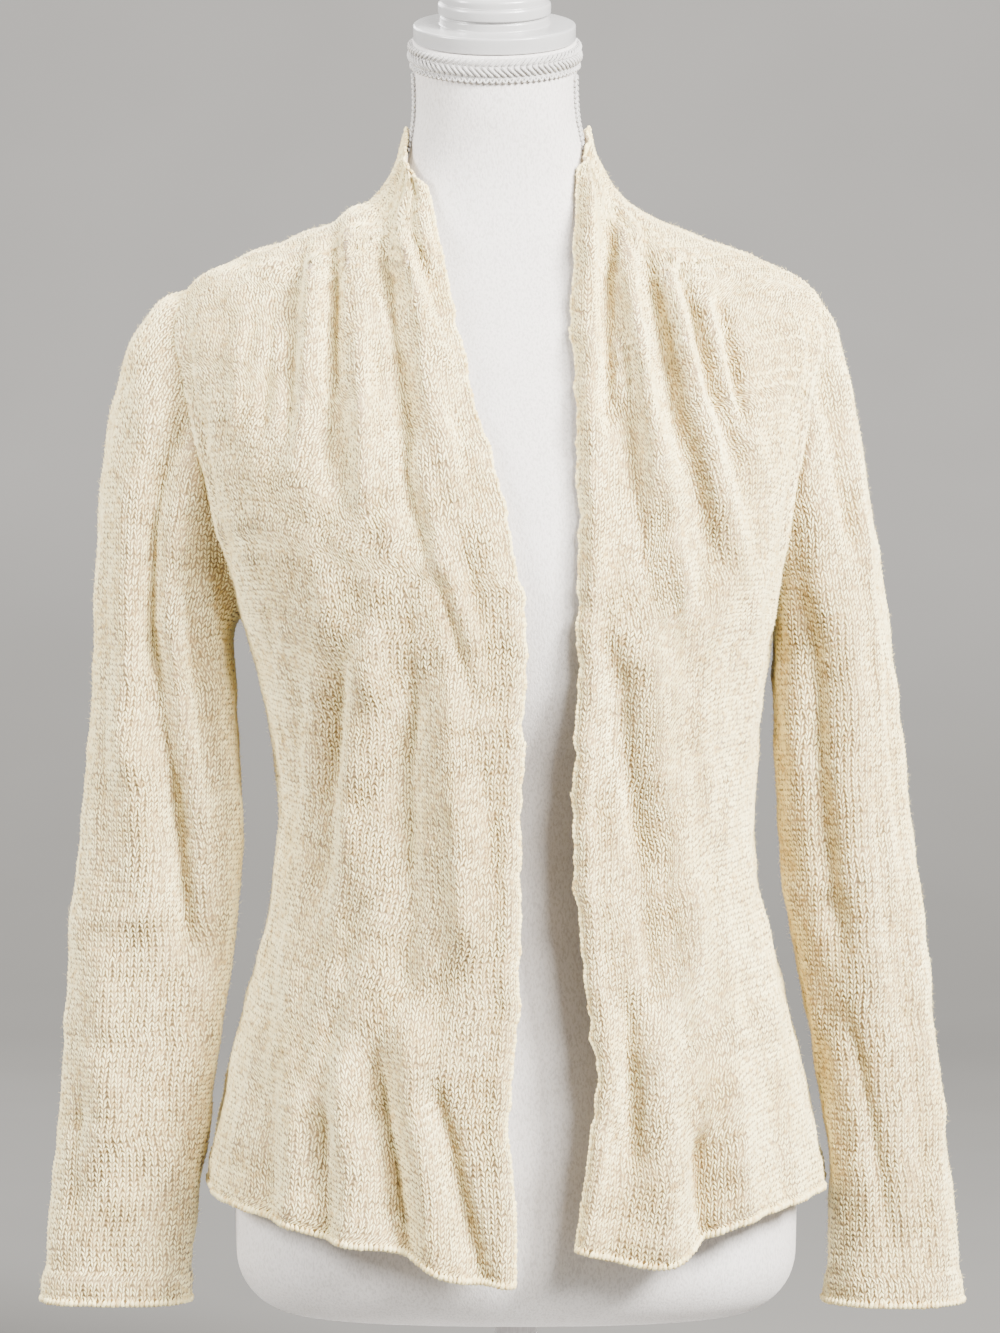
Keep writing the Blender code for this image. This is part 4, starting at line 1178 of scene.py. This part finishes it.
def neck_braid(finish):
    """Gimp braid round the top of the neck: a row of short cords over a row of longer ones that slant the
    other way, with a row of scallops below. Each row is a path in angle, height and offset, repeated round
    the neck."""
    low = NECK_TOP - FIT_GAP - BRAID_HEIGHT
    pitch = 2 * math.pi / BRAID_REPEATS
    turn = np.arange(BRAID_REPEATS)[:, None] * pitch
    share = np.linspace(0, 1, BRAID_CORD_POINTS)[None, :]
    arch = np.sin(math.pi * share)
    groups = []
    for start, reach, foot, rise, bow, lift, swell, radius in BRAID_CORDS:
        angle = turn + pitch * (start + reach * share)
        height = low + foot + rise * share + bow * arch
        groups.append(cords(angle, height, lift + swell * arch, arch, radius))
    ring = np.linspace(0, 2 * math.pi, FORM_SIDES, endpoint=False)
    profile = np.array(BRAID_BAND)
    band = form_ring(low + profile[:, 1, None], ring, profile[:, 0, None])
    quads = grid_quads(len(profile) + 1, FORM_SIDES, True) % (len(profile) * FORM_SIDES)
    groups.append((band.reshape(-1, 3), [quads]))
    points, faces = joined(groups)
    add_piece("braid_round_neck", points, faces, finish, "braid_trim", None, "neck_braid")


def side_braid(side, finish):
    """Narrow braid down the side of the neck: two rows of cords that slant to its middle over a thin tape."""
    middle = SIDE_BRAID_TURN[side]
    top = NECK_TOP - BRAID_HEIGHT - 3 * FIT_GAP
    half = SIDE_BRAID_WIDTH / 2 / float(form_size("half_width", NECK_TOP))
    low = SIDE_BRAID_LOW + np.arange(int((top - SIDE_BRAID_LOW) / SIDE_CORD_PITCH))[:, None] * SIDE_CORD_PITCH
    share = np.linspace(0, 1, SIDE_CORD_POINTS)[None, :]
    arch = np.sin(math.pi * share)
    height = np.minimum(low + SIDE_CORD_RISE * share, top - SIDE_CORD_TOP_GAP)
    outer, inner = SIDE_CORD_ENDS
    groups = []
    for way in (-1, 1):
        angle = middle + way * half * (outer + (inner - outer) * share) + 0 * low
        groups.append(cords(angle, height, SIDE_CORD_LIFT * (1 + arch), arch, SIDE_CORD_RADIUS))
    levels = np.linspace(SIDE_BRAID_LOW, top, SIDE_TAPE_ROWS)[:, None]
    run = np.linspace(-1, 1, SIDE_TAPE_COLUMNS) * half * SIDE_TAPE_SHARE
    offset = np.repeat(SIDE_TAPE_SKINS, SIDE_TAPE_COLUMNS)
    groups.append(capped(form_ring(levels, middle + np.concatenate([run, run[::-1]]), offset)))
    points, faces = joined(groups)
    add_piece(f"braid_down_{side}", points, faces, finish, "braid_trim", None, f"braid_{side}")


def stand(steel, paint):
    """A straight post with a collar at its foot, and a heavy round base with eased edges."""
    post = (
        (19.0, BASE_HEIGHT + FIT_GAP),
        (19.0, BASE_HEIGHT + 5.0),
        (17.5, BASE_HEIGHT + 6.5),
        (13.2, BASE_HEIGHT + 7.0),
        (POST_RADIUS, BASE_HEIGHT + 8.0),
        (POST_RADIUS, FORM_BOTTOM - FIT_GAP),
    )
    turned("stand_post", post, steel, "post_steel", "post")
    base = (
        (BASE_RADIUS - 2.0, 0.0, 0),
        (BASE_RADIUS, 1.5, 1.0),
        (BASE_RADIUS, BASE_HEIGHT - 1.5, 2.5),
        (BASE_RADIUS - 14.0, BASE_HEIGHT, 6.0),
        (24.0, BASE_HEIGHT, 0),
    )
    turned("stand_base", rounded(base), paint, "base_paint", "base")


class Finish:
    """A material: a Principled shader with its even values set on its own sockets, and Object coordinates."""

    def __init__(self, name, **values):
        self.material = bpy.data.materials.new(name)
        self.material.use_nodes = True
        self.tree = self.material.node_tree
        self.shader = self.tree.nodes["Principled BSDF"]
        for socket, value in values.items():
            self.shader.inputs[socket.replace("_", " ")].default_value = value
        self.place = self.node("ShaderNodeTexCoord").outputs["Object"]

    def put(self, value, socket):
        """A link where the value is another node's socket, and else the value itself."""
        if hasattr(value, "is_output"):
            self.tree.links.new(value, socket)
        else:
            socket.default_value = value

    def node(self, kind, inputs=None, **settings):
        made = self.tree.nodes.new(kind)
        for name, value in settings.items():
            setattr(made, name, value)
        for name, value in (inputs or {}).items():
            self.put(value, made.inputs[name])
        return made

    def calc(self, operation, *values):
        return self.node("ShaderNodeMath", dict(enumerate(values)), operation=operation).outputs[0]

    def moved(self, **inputs):
        return self.node("ShaderNodeMapping", {"Vector": self.place, **inputs}).outputs["Vector"]

    def noise(self, scale, detail=2.0, roughness=0.5, on=None):
        place = self.place if on is None else on
        inputs = {"Vector": place, "Scale": scale, "Detail": detail, "Roughness": roughness}
        return self.node("ShaderNodeTexNoise", inputs).outputs["Fac"]

    def ramp(self, factor, *stops):
        """Colour between two stops, each a place and a colour."""
        made = self.node("ShaderNodeValToRGB", {"Fac": factor})
        for element, (place, colour) in zip(made.color_ramp.elements, stops):
            element.position = place
            element.color = (*colour, 1.0)
        return made.outputs["Color"]

    def patches(self, scale, low, high, detail=2.0):
        """Colour that drifts between two stops with noise."""
        return self.ramp(self.noise(scale, detail), low, high)

    def mixed(self, factor, first, second, blend="MIX"):
        made = self.node("ShaderNodeMix", data_type="RGBA", blend_type=blend)
        for index, value in ((0, factor), (6, first), (7, second)):
            self.put((*value, 1.0) if isinstance(value, tuple) else value, made.inputs[index])
        return made.outputs[2]

    def tinted(self, tone, tint):
        return self.mixed(1.0, tone, tint, "MULTIPLY")

    def colour(self, tone):
        self.tree.links.new(tone, self.shader.inputs["Base Color"])

    def gloss(self, factor, low, high):
        """Roughness between two values."""
        made = self.node("ShaderNodeMapRange", {"Value": factor, "To Min": low, "To Max": high})
        self.tree.links.new(made.outputs["Result"], self.shader.inputs["Roughness"])

    def bump(self, *heights):
        """Bump from (height, strength, distance in metres) rows, one over another."""
        below = None
        for height, strength, distance in heights:
            inputs = {"Height": height, "Strength": strength, "Distance": distance}
            if below is not None:
                inputs["Normal"] = below
            below = self.node("ShaderNodeBump", inputs).outputs["Normal"]
        self.tree.links.new(below, self.shader.inputs["Normal"])


def yarn_finish():
    """Soft cream yarn: tones that drift from stitch to stitch and over the cloth, with fine hair as bump."""
    made = Finish("cream_yarn", Roughness=0.9, Sheen_Weight=0.2, Sheen_Roughness=0.45,
                  Sheen_Tint=(1.0, 0.95, 0.84, 1.0), Specular_IOR_Level=0.2)
    stitch = made.patches(260.0, (0.3, (0.66, 0.475, 0.205)), (0.56, (1.0, 0.89, 0.50)))
    drift = made.patches(26.0, (0.35, (0.91, 0.875, 0.80)), (0.65, WHITE))
    made.colour(made.tinted(stitch, drift))
    made.bump((made.noise(1800.0, 3.0), 0.5, 0.0004))
    return made.material


def ground_finish():
    """The knit's ground: dark tan painted shade between the legs, cream on the inside, with purl ridges as
    bump.
    """
    made = Finish("cream_ground", Roughness=1.0, Sheen_Weight=0.25, Sheen_Roughness=0.5,
                  Specular_IOR_Level=0.1)
    stitch = made.node("ShaderNodeUVMap", uv_map="stitches").outputs["UV"]
    wale, course = made.node("ShaderNodeSeparateXYZ", {"Vector": stitch}).outputs[:2]
    waves = []
    for count, shift in ((wale, 0.0), (course, 1.3)):
        turn = made.calc("MULTIPLY", count, 2 * math.pi)
        waves.append(made.calc("SINE", made.calc("ADD", turn, shift)))
    # Painted shade: the outer skin shows between the yarn legs, so it is coloured dark tan in place of the
    # shade there
    gap_shade = made.patches(60.0, (0.35, (0.24, 0.170, 0.088)), (0.65, (0.43, 0.315, 0.175)), 3.0)
    inside = made.patches(220.0, (0.3, (0.72, 0.56, 0.35)), (0.7, (0.90, 0.79, 0.58)), 3.0)
    tone = made.mixed(made.calc("GREATER_THAN", wale, INNER_WALES / 2), gap_shade, inside)
    drift = made.patches(24.0, (0.35, (0.92, 0.89, 0.83)), (0.7, WHITE))
    made.colour(made.tinted(tone, drift))
    made.bump((made.calc("ADD", *waves), 0.5, 0.0006), (made.noise(1500.0, 3.0), 0.5, 0.0005))
    return made.material


def cover_finish():
    """White stretched cover: a fine close weave with slubs, a little warmer in places."""
    made = Finish("form_cover", Roughness=0.85, Sheen_Weight=0.15, Sheen_Roughness=0.4,
                  Specular_IOR_Level=0.25)
    stretched = made.moved(Rotation=(0.0, 0.6, 0.0), Scale=(1.0, 1.0, 0.45))
    weave = made.noise(900.0, 2.0, 0.6, stretched)
    slub = made.noise(240.0, on=stretched)
    tone = made.patches(14.0, (0.3, (0.60, 0.565, 0.54)), (0.7, (0.65, 0.62, 0.598)))
    grain = made.ramp(weave, (0.36, (0.80, 0.79, 0.785)), (0.54, WHITE))
    made.colour(made.tinted(tone, grain))
    made.bump((weave, 0.6, 0.0006), (slub, 0.15, 0.0008))
    return made.material


def cap_finish():
    """Smooth white moulded plastic, toned mid grey as painted shade, with slight mould haze in its gloss."""
    made = Finish("cap_plastic", Roughness=0.28, Coat_Weight=0.15, Coat_Roughness=0.12)
    haze = made.noise(45.0, 3.0)
    # Painted shade: the white plastic's tone is lowered to a mid grey to stand for the shade on the cap
    made.colour(made.ramp(haze, (0.3, (0.36, 0.355, 0.35)), (0.7, (0.385, 0.38, 0.375))))
    made.gloss(haze, 0.22, 0.36)
    made.bump((made.noise(700.0), 0.05, 0.0002))
    return made.material


def braid_finish():
    """Off-white twisted cord: fine slanted threads as tone and bump."""
    made = Finish("braid_cord", Roughness=0.75, Sheen_Weight=0.2, Sheen_Roughness=0.4)
    slanted = made.moved(Rotation=(0.5, 0.6, 0.0))
    inputs = {"Vector": slanted, "Scale": 520.0, "Distortion": 1.5}
    thread = made.node("ShaderNodeTexWave", inputs).outputs["Fac"]
    tone = made.ramp(thread, (0.15, (0.34, 0.325, 0.31)), (0.7, (0.62, 0.605, 0.585)))
    spots = made.patches(160.0, (0.35, (0.9, 0.89, 0.88)), (0.65, WHITE))
    made.colour(made.tinted(tone, spots))
    made.bump((thread, 0.4, 0.0003))
    return made.material


def steel_finish():
    """Brushed steel: long fine scratches up the post in its gloss and bump."""
    made = Finish("brushed_steel", Metallic=1.0, Roughness=0.35)
    grain = made.noise(1600.0, on=made.moved(Scale=(1.0, 1.0, 0.03)))
    made.colour(made.ramp(grain, (0.3, (0.52, 0.52, 0.53)), (0.7, (0.64, 0.64, 0.65))))
    made.gloss(grain, 0.26, 0.45)
    made.bump((grain, 0.1, 0.0002))
    return made.material


def paint_finish():
    """Satin pale grey paint with a faint orange-peel skin and slight tone drift."""
    made = Finish("satin_paint", Roughness=0.42, Coat_Weight=0.1, Coat_Roughness=0.3)
    made.colour(made.patches(9.0, (0.3, (0.58, 0.58, 0.575)), (0.7, (0.63, 0.63, 0.625)), 3.0))
    made.bump((made.noise(420.0), 0.12, 0.0004))
    return made.material


def floor_finish():
    """Plain pale grey paper, deeper along the floor as painted shade, paler far from the lamps as painted
    light.
    """
    made = Finish("grey_paper", Roughness=0.95, Specular_IOR_Level=0.1)
    tone = made.patches(3.0, (0.3, (0.172, 0.167, 0.160)), (0.7, (0.180, 0.175, 0.168)))
    x, y, z = made.node("ShaderNodeSeparateXYZ", {"Vector": made.place}).outputs
    # Painted shade: the paper is darker low down and lighter up the wall, in place of the fall of light over
    # it
    paper_with_painted_shade = made.tinted(tone, made.ramp(z, (0.0, (0.66, 0.66, 0.65)), (0.8, WHITE)))
    level = made.node("ShaderNodeCombineXYZ", {"X": x, "Y": made.calc("MINIMUM", y, 0.0)}).outputs[0]
    reach = made.node("ShaderNodeVectorMath", {0: level}, operation="LENGTH").outputs["Value"]
    # Painted light: the paper grows paler away from the lamps to make up for their light falling off
    far = made.node("ShaderNodeMapRange", {"Value": reach, "From Min": 1.6, "From Max": 7.0},
                    interpolation_type="SMOOTHSTEP").outputs["Result"]
    made.colour(made.mixed(far, paper_with_painted_shade, (0.80, 0.79, 0.78)))
    return made.material


def linked(name, data):
    """A new object in the scene."""
    made = bpy.data.objects.new(name, data)
    bpy.context.scene.collection.objects.link(made)
    return made


def paper_sweep():
    """A sheet of paper that lies before the part and turns up behind it by a quarter circle."""
    turn = np.linspace(0, math.pi / 2, PAPER_BEND_ROWS)
    wall = [PAPER_BEND_START + PAPER_BEND] * len(PAPER_WALL)
    depth = np.concatenate([PAPER_FLOOR, PAPER_BEND_START + PAPER_BEND * np.sin(turn), wall])
    height = np.concatenate([np.zeros(len(PAPER_FLOOR)), PAPER_BEND - PAPER_BEND * np.cos(turn), PAPER_WALL])
    across = np.linspace(-PAPER_HALF_WIDTH, PAPER_HALF_WIDTH, PAPER_COLUMNS)
    points = np.stack(np.broadcast_arrays(across[None, :], depth[:, None], height[:, None]), axis=-1)
    mesh = bpy.data.meshes.new("paper_sweep")
    mesh.from_pydata(points.reshape(-1, 3).tolist(), [], grid_quads(*points.shape[:2]).tolist())
    mesh.shade_smooth()
    mesh.materials.append(floor_finish())
    paper = linked("paper_sweep", mesh)


def studio():
    """The paper sweep, soft lamps, and a level camera before the part."""
    paper_sweep()
    for name, place, aim, size, power, colour in LAMPS:
        light = bpy.data.lights.new(name, "AREA")
        light.size = size
        light.energy = power
        light.color = colour
        lamp = linked(name, light)
        lamp.location = place
        x, y, z = np.array(place) - np.array(aim)
        lamp.rotation_euler = (math.atan2(math.hypot(x, y), z), 0.0, math.atan2(x, -y))
        lamp.visible_camera = False
    world = bpy.data.worlds.new("studio_air")
    world.use_nodes = True
    air = world.node_tree.nodes["Background"]
    air.inputs["Color"].default_value = AIR_COLOUR
    air.inputs["Strength"].default_value = AIR_STRENGTH
    bpy.context.scene.world = world
    eye = bpy.data.cameras.new("eye")
    eye.lens = CAMERA_LENS
    eye.sensor_width = CAMERA_SENSOR
    camera = linked("eye", eye)
    camera.location = CAMERA_PLACE
    camera.rotation_euler = (math.pi / 2, 0.0, 0.0)
    bpy.context.scene.camera = camera


def edges_and_seams(panels, random):
    """Edge stitches of each panel by its name, and the stitches of the seams between panels."""
    levels = row_levels()
    edges = {name: [] for name in panels}
    seams = []
    for name, panel in panels.items():
        if name != "collar":
            edges[name].append(hem_loops(edge_places(panel, "hem", HEM_PITCH), HEM_LOOP_RADIUS, random))
    for name, front_edge, seam_edge in (("front_right", "last", "first"), ("front_left", "first", "last")):
        panel = panels[name]
        edges[name].append(selvedge(edge_places(panel, front_edge, COURSE), FRONT_EDGE_RADIUS, random))
        edges[name].append(selvedge(edge_places(panel, "top", COURSE), SELVEDGE_RADIUS, random))
        for rows in (levels <= UNDERARM, levels >= SHOULDER_END):
            seams.append(seam_stitches(edge_places(panel, seam_edge, COURSE, rows), SEAM_RADIUS, random))
    edges["collar"].append(selvedge(edge_places(panels["collar"], "top", COURSE), SELVEDGE_RADIUS, random))
    seams.append(seam_stitches(edge_places(panels["back"], "top", COURSE), SEAM_RADIUS, random))
    for side in ("right", "left"):
        ring = edge_places(panels[f"sleeve_{side}"], "top", COURSE)
        seams += [seam_stitches(ring, SEAM_RADIUS, random), selvedge(ring, SELVEDGE_RADIUS, random)]
    return edges, seams


def cardigan():
    """All panels with their yarn, edges, seams and hair."""
    yarn = yarn_finish()
    ground = ground_finish()
    panels = {
        "front_right": Panel("front_right", front_grid("right_front"), -1),
        "front_left": Panel("front_left", front_grid("left_front"), 0),
        "back": Panel("back", back_grid(), BACK_COLUMNS // 2),
        "collar": Panel("collar", collar_grid(), BACK_COLUMNS // 2),
    }
    for side in ("right", "left"):
        panels[f"sleeve_{side}"] = Panel(f"sleeve_{side}", sleeve_grid(side), SLEEVE_COLUMNS_ROUND // 2, True)
    random = np.random.default_rng(EDGE_SEED)
    edges, seams = edges_and_seams(panels, random)
    add_piece("seams", *joined(seams), yarn, "knit_cream")
    for number, (name, panel) in enumerate(panels.items()):
        shell = cloth_shell(panel, ground)
        legs = yarn_legs(panel, yarn, YARN_SEED + number)
        border = add_piece(f"{name}_edge", *joined(edges[name]), yarn, "knit_cream")
        hair = add_piece(f"{name}_hair", *short_hairs(panel, HAIRS[name], random), yarn, "knit_cream")


def dress_form():
    """The covered form with its cap, braids and stand."""
    braid = braid_finish()
    form_cover(cover_finish())
    neck_cap(cap_finish())
    neck_braid(braid)
    for side in SIDE_BRAID_TURN:
        side_braid(side, braid)
    stand(steel_finish(), paint_finish())


studio()
cardigan()
dress_form()
